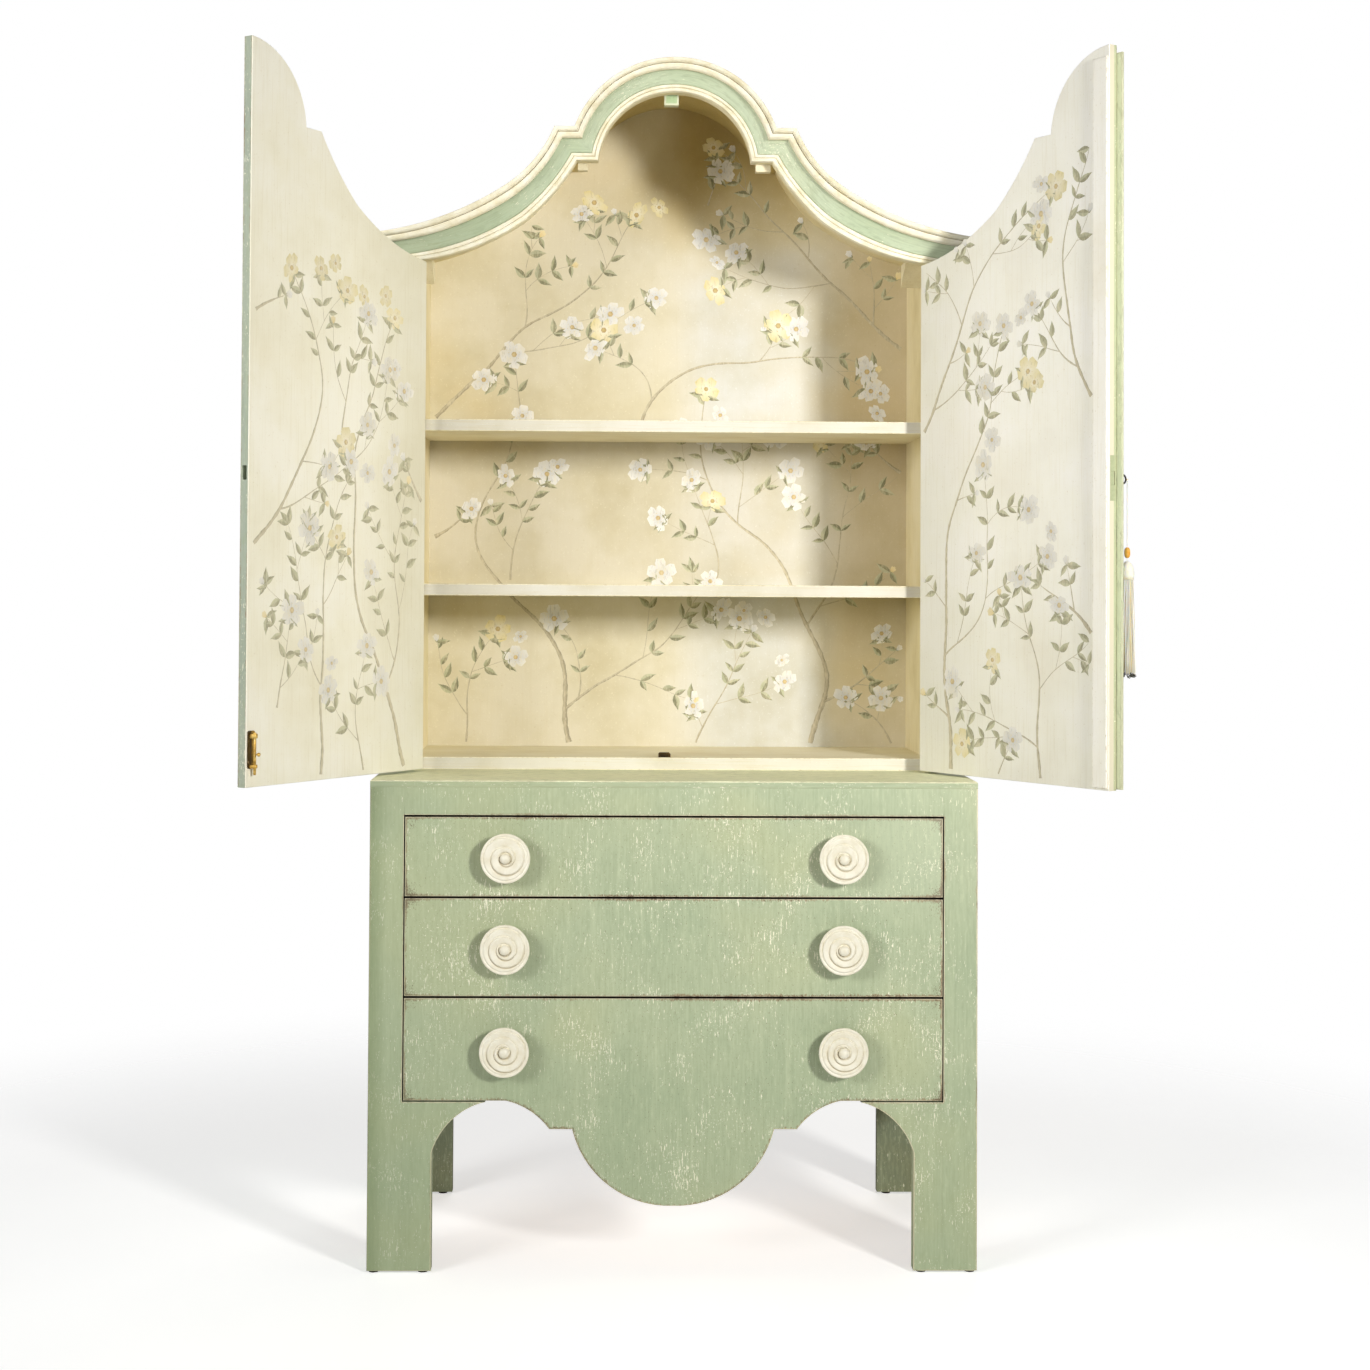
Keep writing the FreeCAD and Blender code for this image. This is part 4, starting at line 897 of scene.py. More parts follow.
def joint_marks(o, corners=()):
    """Marks the walls of the joints round the drawers and the drawers' corners."""
    me = o.data
    n = len(me.vertices)
    co = np.empty(n * 3)
    me.vertices.foreach_get("co", co)
    co = co.reshape(-1, 3) * 1000.0
    depth = co[:, 1] + 170.5
    hit = (np.abs(co[:, 0]) < 498.6) & (co[:, 2] > 312.6) & (co[:, 2] < 837.6) & (depth > 0.22)
    at = me.attributes.new("gap", "FLOAT", "POINT")
    at.data.foreach_set("value", hit.astype(np.float32))
    near = np.zeros(n, np.float32)
    for cx, cz in corners:
        d = np.hypot(co[:, 0] - cx, co[:, 2] - cz)
        near = np.maximum(near, np.clip(1.0 - d / 80.0, 0.0, 1.0).astype(np.float32))
    at = me.attributes.new("corner", "FLOAT", "POINT")
    at.data.foreach_set("value", near)


plate("chest_top_board", [(-560, 0), (560, 0), (560, 560), (-560, 560)], 900.0, 887.0,
      lambda u, v, t: P(u, v, t), "carcass", ["sage_top", "sage_lip", "sage_lip"],
      radii=2.6, back_r=0.35, replaces=["chest_top"])

side_items = [(40, 4), (112, 4), (112, 205), ("arc", (128.0, 240.0)), (165, 255), (433, 255),
              ("arc", (470.0, 240.0)), (486, 205), (486, 4), (560, 4), (560, 887), (40, 887)]
pts, tag = outline_of(side_items)
for s, nm in ((-1, "left"), (1, "right")):
    rad = [0.15 if side_items[g] in ((560, 887), (40, 887)) else 1.3 for g in tag]
    plate("chest_%s_panel" % nm, pts, s * 560.0, s * 538.0, lambda u, v, t: P(t, u, v), "carcass",
          ["sage_side", "pine_dark", "sage_side"], radii=rad, replaces=["chest_%s_side" % nm])
    x0, x1 = s * 560.0, s * 497.0
    post = [(x0, 4), (x1, 4), (x1, 311.5), (x1, 836.0), (x1, 887), (x0, 887)]
    prad = [1.2, 0.15, 1.0, 0.15, 0.15, 2.0]
    if s > 0:
        post = list(reversed(post))
        prad = [0.15, 0.15, 1.0, 0.15, 1.2, 2.0]
    stile = plate("front_%s_stile" % nm, post, 0.0, 40.0, front_map, "carcass",
          ["sage_front", "pine_dark", "sage_front"], radii=prad, back_r=0.4,
          replaces=["front_%s_post" % nm])
    joint_marks(stile)
    bitems = [(s * 497.0, 4.0), (s * 442.5, 4.0), (s * 442.5, 219.0), ("arc", (s * 413.0, 271.5)),
              (s * 345.0, 311.5), (s * 497.0, 311.5)]
    bp, bt = outline_of(bitems, 3.0)
    brad = [0.15 if g == 5 else (0.8 if g == 4 else 1.3) for g in bt]
    wing = plate("front_%s_wing" % nm, bp, 0.0, 30.0, front_map, "carcass",
          ["sage_front", "pine_dark", "sage_front"], radii=brad,
          replaces=["front_%s_bracket" % nm])
    joint_marks(wing)

rail = plate("front_top_rail", [(-497, 836), (497, 836), (497, 887), (-497, 887)], 0.0, 40.0, front_map,
      "carcass", ["sage_front", "pine_dark", "sage_front"], radii=[1.0, 0.15, 0.15, 0.15],
      replaces=["top_rail"])
joint_marks(rail)

# ================================================================== drawers
for nm, lo, hi in (("top_drawer", 687.0, 833.0), ("middle_drawer", 504.5, 684.0),
                   ("bottom_drawer", 314.0, 501.5)):
    if nm == "bottom_drawer":
        half = [(308.0, lo), ("arc", (262.5, 295.0)), (227.5, 262.0), (185.5, 262.0),
                ("arc", (124.5, 164.5))]
        items = [(-495.5, hi), (495.5, hi), (495.5, lo)] + half + [(0.0, 122.5)]
        for c in reversed(half):
            items.append(("arc", (-c[1][0], c[1][1])) if c[0] == "arc" else (-c[0], c[1]))
        items.append((-495.5, lo))
        pts, tag = outline_of(items, 3.5)
    else:
        pts = [(-495.5, lo), (495.5, lo), (495.5, hi), (-495.5, hi)]
    pan = plate(nm + "_panel", pts, 0.0, 22.0, front_map, nm, ["sage_drawer", "pine_cross", "sage_drawer"],
                radii=1.2, replaces=[nm + "_front"])
    joint_marks(pan, [(-495.5, lo), (495.5, lo), (495.5, hi), (-495.5, hi)])


# --------------------------------------------------------------------- knobs
def knob_mesh(name, cx, cz, turn, body, turns=2.0):
    """Turned and carved pull: a stepped swirl climbs from the rim to a round boss."""
    NA = 120
    R0 = 45.5
    rs = [0.0, 1.8, 3.6, 5.2, 6.6, 7.8, 8.7, 9.4, 9.9]
    r = 10.6
    while r < 40.8:
        rs.append(r)
        r += 0.82
    rs += [41.3, 41.9, 42.5, 43.1, 43.7, 44.3, 44.8, 45.2, 45.5]
    r_out, r_in = 41.5, 8.5
    pitch = (r_out - r_in) / turns

    def height(r, th):
        """Height of the face and how dark it is marked in a groove (0 top, 1 bottom): dust, with painted shade in the
        lower part.
        """
        if r <= 9.4:
            return 33.2 + 6.8 * math.sqrt(max(1 - (r / 9.7) ** 2, 0.0)), 0.0
        cone = 28.6 + 4.6 * (1 - r / r_out) ** 0.9 if r < r_out else 28.6
        g = (r_out - r) / pitch + (th - turn) / (2 * math.pi)
        f = g % 1.0
        if f < 0.20:
            rise = math.sin(0.5 * math.pi * f / 0.20) ** 1.15
        elif f < 0.86:
            rise = 1.0 - 0.58 * ((f - 0.20) / 0.66) ** 1.25
        else:
            rise = 0.42 * (1.0 - (f - 0.86) / 0.14)
        ease = min(1.0, max(0.0, (r_out - r) / 3.5)) * min(1.0, max(0.0, (r - 9.4) / 4.0))
        rib = 4.0 * rise * ease
        rim = 0.0
        if r > 40.6:
            u = (r - 43.1) / 2.55
            rim = 2.5 * max(0.0, 1 - u * u) ** 0.5
        well = 0.0
        if 9.4 < r < 14.0:
            well = -2.6 * max(0.0, 1 - abs(r - 10.6) / 3.4)
        low = max(0.0, 1.0 - rise * 1.65) * (1.0 if r < r_out - 1.0 else 0.0)
        if 9.4 < r < 14.2:
            low = max(low, 1.0 - (r - 9.4) / 4.8)
        # painted shade with dust: the lower part of each groove and the ring under the boss are marked darker, as if
        # lit from above
        down = 0.5 - 0.5 * math.sin(th + 0.35)
        low *= 0.22 + 0.88 * down ** 1.3
        if rim > 0.6:
            low = 0.0
        return min(cone + max(rib, rim) + well, 39.9), low
    bm = bmesh.new()
    lay = bm.verts.layers.float.new("edge")
    rings = []
    cen = bm.verts.new(P(cx, -height(0, 0)[0], cz))
    cen[lay] = 2.0
    for r in rs[1:]:
        row = []
        for k in range(NA):
            th = 2 * math.pi * k / NA
            h, low = height(r, th)
            v = bm.verts.new(P(cx + r * math.cos(th), -h, cz + r * math.sin(th)))
            v[lay] = 2.0 - 2.4 * low
            row.append(v)
        rings.append(row)
    # painted shade: the rim's underside and the stem are marked darker
    for rr, yy, e in ((45.5, -27.5, 0.5), (45.2, -25.0, 0.2), (44.0, -22.3, 0.1), (42.0, -20.2, 0.0), (39.0, -19.2, 0.0),
                      (24.0, -19.0, -0.5), (13.5, -18.2, -0.5), (11.2, -16.0, -0.6), (10.2, -10.0, -0.6),
                      (10.6, -4.0, -0.6), (11.0, -1.0, -0.8), (11.0, 0.0, -0.8)):
        row = []
        for k in range(NA):
            th = 2 * math.pi * k / NA
            v = bm.verts.new(P(cx + rr * math.cos(th), yy, cz + rr * math.sin(th)))
            v[lay] = e
            row.append(v)
        rings.append(row)
    for k in range(NA):
        bm.faces.new((cen, rings[0][(k + 1) % NA], rings[0][k]))
    for a, b in zip(rings[:-1], rings[1:]):
        for k in range(NA):
            bm.faces.new((a[k], a[(k + 1) % NA], b[(k + 1) % NA], b[k]))
    bm.faces.new(list(reversed(rings[-1])))
    return finish_bm(bm, name, ["ivory"], body, smooth=60.0)


t = Tree("ivory", rough=0.42, spec=0.45)
cl = t.noise(t.coords((1, 1, 1)), 60.0, 3.0, 0.6)
groove_dust_shade = t.attr("edge")
col = t.ramp(cl, [(0.35, lin("#E2DBC4")), (0.6, lin("#EBE6D4"))])
# the grooves' dust and painted shade, and the painted shade under the disc
col = t.mix(t.math("MULTIPLY", t.step(groove_dust_shade, 1.5, -0.4), 0.72), col, lin("#A3916B"))
t.colour(col)
t.rough(t.math("ADD", t.math("MULTIPLY", cl, 0.15), 0.34))
t.normal(t.bump(t.noise(t.coords((1, 1, 1)), 420.0, 2.0, 0.6), 0.0001, 0.5))
MATS["ivory"] = t.mat

turns = {("top_drawer", -1): (2.6, 2.0), ("top_drawer", 1): (0.4, 2.1), ("middle_drawer", -1): (2.2, 2.3),
         ("middle_drawer", 1): (3.6, 2.5), ("bottom_drawer", -1): (1.2, 2.4), ("bottom_drawer", 1): (2.9, 2.8)}
for nm, kz in (("top_drawer", 760.0), ("middle_drawer", 594.0), ("bottom_drawer", 407.5)):
    for s, sd in ((-1, "left"), (1, "right")):
        o = knob_mesh("%s_%s_knob" % (nm, sd), s * 310.0, kz, turns[(nm, s)][0], nm, turns[(nm, s)][1])
        if s < 0:
            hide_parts(nm + "_knobs")

# ============================================================ case interior
plate("case_floor_board", [(-500, 244), (500, 244), (500, 550), (-500, 550)], 924.0, 900.0,
      lambda u, v, t: P(u, v, t), "carcass", ["cream_shelf", "cream_shelf", "cream_edge"],
      radii=[1.3, 0.15, 0.15, 0.15], replaces=["case_bottom"],
      holes=[(-13.0, 247.5 + 0.0, 2.9, 15.0)])
for nm, zt in (("lower_shelf", 1261.5), ("upper_shelf", 1583.5)):
    plate(nm + "_board", [(-506, 244), (506, 244), (506, 550), (-506, 550)], zt, zt - 23.0,
          lambda u, v, t: P(u, v, t), "carcass", ["cream_shelf", "cream_shelf", "cream_edge"],
          radii=[1.5, 0.15, 0.15, 0.15], replaces=[nm])


# ==================================================================== doors
def door_outline(step=4.0):
    cl = 4.0
    r = 150.0 - cl
    zl, xb, xg = 2087.0 - cl, 191.0 - cl, 0.75
    xa = math.sqrt(r * r - (zl - ARCH_Z) ** 2)
    zt = ARCH_Z + math.sqrt(r * r - xg * xg)
    xm, zm = 290.0 - cl * 0.62, 1969.0 - cl * 0.78
    ma = (IN_A[0] - cl * 0.75, IN_A[1] - cl * 0.6)
    mb = (IN_B[0] - cl * 0.4, IN_B[1] - cl * 0.92)
    xh, ze = 499.0, 1889.0 - cl
    am = (r * math.sin(0.8), ARCH_Z + r * math.cos(0.8))
    to = lambda p: (499.5 - p[0], p[1])
    return [to((xh, 904.0)), to((xg, 904.0)), to((xg, zt)), ("arc", to(am)), to((xa, zl)), to((xb, zl)),
            ("arc", to(ma)), to((xm, zm)), ("arc", to(mb)), to((xh, ze))]


d_items = door_outline()
# points where the hinge leaves and the lock bolt's mortise begin and end
hz = [(965.0, 1035.0), (1365.0, 1435.0), (1755.0, 1825.0)]
free_marks = [(498.75, 1440.5), (498.75, 1465.5)]
lock_marks = [(498.75, 1412.9), (498.75, 1493.1)]
for side, mapf, s in (("left", DL, -1), ("right", DR, 1)):
    items = list(d_items)
    top_hinge = items[-1]
    items = items[:2] + (free_marks if s < 0 else lock_marks) + items[2:]
    for z0, z1 in reversed(hz):
        items += [(0.5, z1), (0.5, z0)]
    pts, tag = outline_of(items, 4.0)
    pockets = [dict(u=(0.4, 0.6), v=h, t=(0.6, 17.5), deep=1.6) for h in hz]
    if s < 0:
        pockets.append(dict(u=(498.7, 498.8), v=(1440.5, 1465.5), t=(4.6, 14.6), deep=11.0))
    else:
        pockets.append(dict(u=(498.7, 498.8), v=(1412.9, 1493.1), t=(2.9, 16.1), deep=48.9))
    plate("%s_door_panel" % side, pts, 4.5, 23.5, lambda u, v, t, m=mapf: m(u, t, v),
          "%s_door" % side, ["sage_side", "cream_%s" % side, "sage_cool" if s < 0 else "sage_edge"], radii=1.3,
          back_r=1.3, pockets=pockets, replaces=["%s_door_board" % side])

plate("cover_strip", [(466.0, 906.0), (510.5, 906.0), (510.5, 2206.0), (466.0, 2206.0)], -1.5, 3.9,
      lambda u, v, t: DR(u, t + (0.6 if t > 2.0 and u < 495.0 else 0.0), v), "right_door", ["sage_pale", "sage_pale", "sage_pale"], radii=1.8,
      back_r=0.5, replaces=["door_astragal"])
plate("inner_strip", [(463.0, 908.0), (497.5, 908.0), (497.5, 2198.0), (463.0, 2198.0)], 28.5, 23.5,
      lambda u, v, t: DR(u, t, v), "right_door", ["cream_strip", "cream_strip", "cream_rim"],
      radii=1.6, back_r=0.5, replaces=["lock_strip"])

# ================================================================== cornice
SECTION = [
    (0.0, 0.0, "c"), (0.0, 9.0, "c"), (0.8, 12.2, "c"), (3.0, 13.8, "c"), (5.5, 13.9, "c"), (7.0, 12.6, "c"),
    (7.6, 11.4, "c"), (8.2, 12.8, "c"), (9.5, 14.0, "c"), (12.0, 14.0, "c"), (13.4, 13.2, "c"),
    (13.92, 11.8, "g"), (14.3, 12.8, "g"), (15.0, 14.5, "g"), (25.0, 20.1, "g"), (36.5, 26.5, "g"), (38.0, 29.0, "g"),
    (38.28, 31.5, "c"), (38.5, 33.0, "c"), (39.2, 38.0, "c"), (41.0, 41.5, "c"), (44.0, 43.5, "c"),
    (47.0, 44.6, "c"), (48.1, 44.9, "c"), (48.3, 43.4, "c"), (49.0, 43.0, "c"), (49.3, 46.0, "c"),
    (50.5, 50.0, "c"), (53.0, 53.0, "c"), (56.0, 54.0, "c"), (57.6, 53.4, "c"), (58.0, 52.0, "c"),
    (58.0, 0.0, "c")]
GROOVE = {(7.6, 11.4): 1.0, (13.92, 11.8): 1.0, (38.28, 31.5): 1.0, (48.3, 43.4): 0.9, (49.0, 43.0): 0.9,
          (14.3, 12.8): 0.5, (38.0, 29.0): 0.4, (0.0, 0.0): 0.2}
bm = bmesh.new()
g_lay = bm.verts.layers.float.new("groove")
uv = bm.loops.layers.uv.new("UVMap")
rows, ulen = [], []
vacc = 0.0
vs_ = []
for k, (s_mm, out, kind) in enumerate(SECTION):
    f = s_mm / 58.0
    xe = 518.0 + out
    prof = full_profile(f, xe)
    y = 219.0 - out
    path = [(-xe, 560.0, prof[0][1]), (-xe, 0.5 * (560.0 + y), prof[0][1])]
    path += [(x, y, z) for x, z in prof]
    path += [(xe, 0.5 * (560.0 + y), prof[-1][1]), (xe, 560.0, prof[-1][1])]
    row = []
    for (x, yy, z) in path:
        v = bm.verts.new(P(x, yy, z))
        v[g_lay] = GROOVE.get((s_mm, out), 0.0)
        row.append(v)
    rows.append(row)
    if k:
        vacc += math.hypot(s_mm - SECTION[k - 1][0], out - SECTION[k - 1][1])
    vs_.append(vacc / 1000.0)
n_path = len(rows[0])
mid = rows[14]
acc = [0.0]
for i in range(1, n_path):
    acc.append(acc[-1] + (mid[i].co - mid[i - 1].co).length)
for k in range(len(rows)):
    a, b = rows[k], rows[(k + 1) % len(rows)]
    kind = SECTION[k][2]
    va, vb = vs_[k], vs_[k + 1] if k + 1 < len(rows) else vs_[k] + 0.058
    for i in range(n_path - 1):
        f = bm.faces.new((a[i], a[i + 1], b[i + 1], b[i]))
        f.material_index = 0 if kind == "c" else 1
        for lp, (uu, vv) in zip(f.loops, ((acc[i], va), (acc[i + 1], va), (acc[i + 1], vb), (acc[i], vb))):
            lp[uv].uv = (uu, vv)
bm.faces.new([r[0] for r in rows])
bm.faces.new([r[-1] for r in reversed(rows)])

t = Tree("cream_moulding", rough=0.55, spec=0.35)
fine = t.noise(t.coords((12.0, 420.0, 1.0), "UV"), 1.0, 3.0, 0.65)
cl = t.noise(t.coords((1, 1, 1)), 30.0, 4.0, 0.6)
sp = t.noise(t.coords((1, 1, 1)), 190.0, 3.0, 0.6)
col = t.ramp(cl, [(0.35, lin("#E3D9B8")), (0.5, lin("#F0E9D0")), (0.66, lin("#F6F1DE"))])
col = t.mix(t.math("MULTIPLY", t.step(fine, 0.5, 0.3), 0.35), col, lin("#CDBD92"))
gr = t.attr("groove")
rag = t.math("ADD", t.math("MULTIPLY", gr, 0.85), t.math("MULTIPLY", sp, 0.35))
col = t.mix(t.math("MULTIPLY", t.step(rag, 0.35, 0.85), 0.75), col, lin("#A08B62"))
col = t.mix(t.math("MULTIPLY", t.step(rag, 0.85, 1.12), 0.85), col, lin("#5A4A30"))
t.colour(col)
t.normal(t.bump(t.math("ADD", fine, sp), 0.0002, 0.6))
MATS["cream_moulding"] = t.mat
finish_bm(bm, "cornice_moulding", ["cream_moulding", "sage_curve"], "carcass",
          ["cornice_frieze", "cornice_crown"], smooth=35.0)


# ======================================================= carried-over pieces
def dress(node, *mats):
    o = NODES[node]
    o.data.materials.clear()
    for m in mats:
        o.data.materials.append(MATS[m] if isinstance(m, str) else m)
    return o


def two_tone(name, inner_axis, inner_sign, cream=("#DACCA0", "#E6DAB2", "#EBE0BE")):
    """Cream on the faces that look inwards, sage paint on the others."""
    t = Tree(name, rough=0.6, spec=0.3)
    fine = t.noise(t.coords((330.0, 330.0, 11.0)), 1.0, 3.0, 0.65)
    patch = t.noise(t.coords((1, 1, 1)), 4.2, 2.0, 0.5)
    cloud = t.noise(t.coords((1, 1, 1), shift=(1.1, 2.3, 0.6)), 5.0, 4.0, 0.6)
    dots = t.noise(t.coords((1, 1, 1)), 230.0, 2.0, 0.6)
    g = t.ramp(patch, [(0.34, lin("#A8BC95")), (0.5, lin("#B4C4A0")), (0.64, lin("#BDC59E"))])
    g = t.mix(t.math("MULTIPLY", t.step(fine, 0.54, 0.30), 0.6), g, lin("#96AD86"))
    g = t.mix(t.math("MULTIPLY", t.step(fine, 0.58, 0.74), 0.6), g, lin("#D3D8B6"))
    c = t.ramp(cloud, [(0.33, lin(cream[0])), (0.47, lin(cream[1])), (0.62, lin(cream[2]))])
    c = t.mix(t.math("MULTIPLY", t.step(fine, 0.52, 0.28), 0.3), c, lin("#D2C49A"), "MULTIPLY")
    c = t.mix(t.math("MULTIPLY", t.step(dots, 0.60, 0.76), 0.15), c, lin("#F5EFD9"))
    ax = t.normal_axis(inner_axis)
    if inner_sign < 0:
        m = t.step(ax, -0.02, -0.12)
    else:
        m = t.step(ax, 0.02, 0.12)
    t.colour(t.mix(m, g, c))
    t.normal(t.bump(fine, 0.0003, 0.7))
    MATS[name] = t.mat
    return t.mat


two_tone("case_left_tone", 0, 1)
two_tone("case_right_tone", 0, -1)
two_tone("roof_tone", 2, -1)
dress("case_left_side", "case_left_tone")
dress("case_right_side", "case_right_tone")
# painted shade: a darker, browner copy of the roof's cream for the arched roof's underside
two_tone("arch_roof_painted_shade", 2, -1, ("#BFAB72", "#C8B57C", "#CFBE8A"))
for nm in ("left_roof_board", "right_roof_board"):
    dress(nm, "roof_tone")
dress("arched_roof_board", "arch_roof_painted_shade")
dress("case_back", "cream_back")
dress("arch_board", "cream_side")
t = Tree("block_tone", rough=0.6, spec=0.3)
bx, bz = t.position_axis(0), t.position_axis(2)
face = t.math("MULTIPLY", t.step(bx, -0.0180, -0.0155), t.step(bx, 0.0060, 0.0035))
face = t.math("MULTIPLY", face, t.step(bz, 2.2062, 2.2092))
fine = t.noise(t.coords((1, 1, 1)), 260.0, 3.0, 0.6)
cl = t.noise(t.coords((1, 1, 1)), 12.0, 3.0, 0.6)
cr = t.ramp(cl, [(0.35, lin("#DCD1AE")), (0.6, lin("#EAE1C4"))])
cr = t.mix(t.step(bz, 2.16, 2.18), cr, lin("#D2D5BA"))
t.colour(t.mix(t.math("MULTIPLY", t.step(fine, 0.5, 0.3), 0.25), t.mix(face, cr, lin("#AEC397")), lin("#CFC39A"), "MULTIPLY"))
t.normal(t.bump(fine, 0.0002, 0.6))
MATS["block_tone"] = t.mat
soft_edge = dress("stop_blocks", "block_tone").modifiers.new("soft edges", "BEVEL")
soft_edge.width, soft_edge.segments, soft_edge.limit_method = 0.0022, 3, "ANGLE"
dress("chest_back", "pine_dark")
dress("back_legs", "sage_leg_painted_shade")
dress("drawer_runners", "pine_dark")
t = Tree("glide_black", rough=0.45, spec=0.4)
n = t.noise(t.coords((1, 1, 1)), 300.0, 3.0, 0.6)
t.colour(t.ramp(n, [(0.35, lin("#1E1B18")), (0.65, lin("#34302B"))]))
t.normal(t.bump(n, 0.0001, 0.4))
MATS["glide_black"] = t.mat
dress("foot_glides", "glide_black")
for nm in ("top_drawer", "middle_drawer", "bottom_drawer"):
    dress(nm + "_sides", "pine_box")
    dress(nm + "_back", "pine_cross")
    dress(nm + "_bottom", "pine_box")
dress("case_screws", "dark_brass")
dress("bolt_strike", "dark_brass")
for nm in ("left_door_leaves", "right_door_leaves", "case_hinge_leaves", "hinge_pins"):
    dress(nm, "aged_brass")
t = Tree("dark_iron", rough=0.45, spec=0.5)
n = t.noise(t.coords((1, 1, 1)), 260.0, 4.0, 0.6)
t.colour(t.ramp(n, [(0.35, lin("#1B1713")), (0.7, lin("#332C24"))]))
t.bsdf.inputs["Metallic"].default_value = 0.25
t.rough(t.math("ADD", t.math("MULTIPLY", n, 0.3), 0.3))
t.normal(t.bump(n, 0.0001, 0.5))
MATS["dark_iron"] = t.mat
# the lock's face was painted over with the door's edge, and so was the bolt's end
t = Tree("lock_tone", rough=0.5, spec=0.4)
ax = t.nt.nodes.new("ShaderNodeTexCoord")
dt = t.nt.nodes.new("ShaderNodeVectorMath")
dt.operation = "DOT_PRODUCT"
t.nt.links.new(ax.outputs["Normal"], dt.inputs[0])
dt.inputs[1].default_value = (-C_OPEN, -S_OPEN, 0.0)
n = t.noise(t.coords((1, 1, 1)), 200.0, 3.0, 0.6)
face = t.step(dt.outputs["Value"], 0.90, 0.97)
iron = t.ramp(n, [(0.35, lin("#4A4030")), (0.7, lin("#7A6438"))])
t.colour(t.mix(face, iron, t.ramp(n, [(0.35, lin("#A9B08B")), (0.65, lin("#B2B792"))])))
t.put(t.bsdf, "Metallic", t.math("SUBTRACT", 0.6, t.math("MULTIPLY", face, 0.6)))
t.normal(t.bump(n, 0.0001, 0.5))
MATS["lock_tone"] = t.mat
dress("lock_case", "lock_tone")
dress("lock_bolt", "lock_tone")
t = Tree("silk", rough=0.5, spec=0.3)
t.bsdf.inputs["Sheen Weight"].default_value = 0.6
t.bsdf.inputs["Subsurface Weight"].default_value = 0.7
t.bsdf.inputs["Subsurface Radius"].default_value = (0.004, 0.0035, 0.0026)
wv = t.noise(t.coords((900.0, 900.0, 60.0)), 1.0, 2.0, 0.6)
t.colour(t.mix(t.math("MULTIPLY", t.step(wv, 0.5, 0.3), 0.12), t.attr("tint", "Color"), lin("#D9CFAE")))
t.normal(t.bump(wv, 0.00015, 0.6))
MATS["silk"] = t.mat
t = Tree("amber", rough=0.16, spec=0.5)
am = t.noise(t.coords((1, 1, 1)), 120.0, 3.0, 0.6)
t.colour(t.ramp(am, [(0.35, lin("#EDAA3C")), (0.65, lin("#F6CB6E"))]))
t.bsdf.inputs["Subsurface Weight"].default_value = 0.35
t.bsdf.inputs["Subsurface Radius"].default_value = (0.004, 0.003, 0.0015)
MATS["amber"] = t.mat
brass("screw_steel", "#B9A67E", "#8C7A55", 0.3)

# ================================================================= hardware
def ring_frame(d):
    a = Vector((0, 0, 1)) if abs(d.z) < 0.9 else Vector((1, 0, 0))
    x = d.cross(a).normalized()
    return x, d.cross(x).normalized()


def lathe(bm, org, axis, profile, n=28, lay=None, tint=None):
    """Turned solid: profile of (distance along the axis, radius), millimetres."""
    axis = axis.normalized()
    x, y = ring_frame(axis)
    prev = None
    for k, (s_, r) in enumerate(profile):
        c = org + axis * (s_ / 1000.0)
        if r < 0.02:
            row = [bm.verts.new(c)]
        else:
            row = [bm.verts.new(c + (x * math.cos(2 * math.pi * j / n) + y * math.sin(2 * math.pi * j / n)) * (r / 1000.0))
                   for j in range(n)]
        if lay is not None:
            for v in row:
                v[lay] = tint[k] if isinstance(tint, list) else tint
        if prev:
            a, b = prev, row
            if len(a) == 1 and len(b) > 1:
                for j in range(n):
                    bm.faces.new((a[0], b[(j + 1) % n], b[j]))
            elif len(b) == 1 and len(a) > 1:
                for j in range(n):
                    bm.faces.new((a[j], a[(j + 1) % n], b[0]))
            elif len(a) > 1:
                for j in range(n):
                    bm.faces.new((a[j], a[(j + 1) % n], b[(j + 1) % n], b[j]))
        elif len(row) > 1:
            bm.faces.new(list(reversed(row)))
        prev = row
    if len(prev) > 1:
        bm.faces.new(prev)


def tube(bm, pts, radii, sides=6, lay=None, tints=None, closed=False):
    """Round tube along points given in metres."""
    n = len(pts)
    rows = []
    x = None
    for k in range(n):
        a, b = pts[(k - 1) % n if closed else max(0, k - 1)], pts[(k + 1) % n if closed else min(n - 1, k + 1)]
        d = (b - a).normalized()
        if x is None:
            x, y = ring_frame(d)
        else:
            x = (x - d * x.dot(d)).normalized()
            y = d.cross(x)
        r = radii[k] if isinstance(radii, list) else radii
        row = [bm.verts.new(pts[k] + (x * math.cos(2 * math.pi * j / sides) + y * math.sin(2 * math.pi * j / sides)) * (r / 1000.0))
               for j in range(sides)]
        if lay is not None:
            for v in row:
                v[lay] = tints[k] if isinstance(tints, list) else tints
        rows.append(row)
    pairs = list(zip(rows[:-1], rows[1:])) + ([(rows[-1], rows[0])] if closed else [])
    for a, b in pairs:
        for j in range(sides):
            bm.faces.new((a[j], a[(j + 1) % sides], b[(j + 1) % sides], b[j]))
    if not closed:
        bm.faces.new(list(reversed(rows[0])))
        bm.faces.new(rows[-1])


A_L = (DL(1, 0, 0) - DL(0, 0, 0)).normalized()
B_L = (DL(0, 1, 0) - DL(0, 0, 0)).normalized()
A_R = (DR(1, 0, 0) - DR(0, 0, 0)).normalized()
B_R = (DR(0, 1, 0) - DR(0, 0, 0)).normalized()
UP = Vector((0, 0, 1))

# surface bolt inside the left door
BA, RB = 486.5, 33.0


def rounded(u0, u1, v0, v1, r, m=5):
    out = []
    for cx, cy, a0 in ((u1 - r, v1 - r, 0), (u0 + r, v1 - r, 90), (u0 + r, v0 + r, 180), (u1 - r, v0 + r, 270)):
        for k in range(m + 1):
            a = math.radians(a0 + 90.0 * k / m)
            out.append((cx + r * math.cos(a), cy + r * math.sin(a)))
    return out


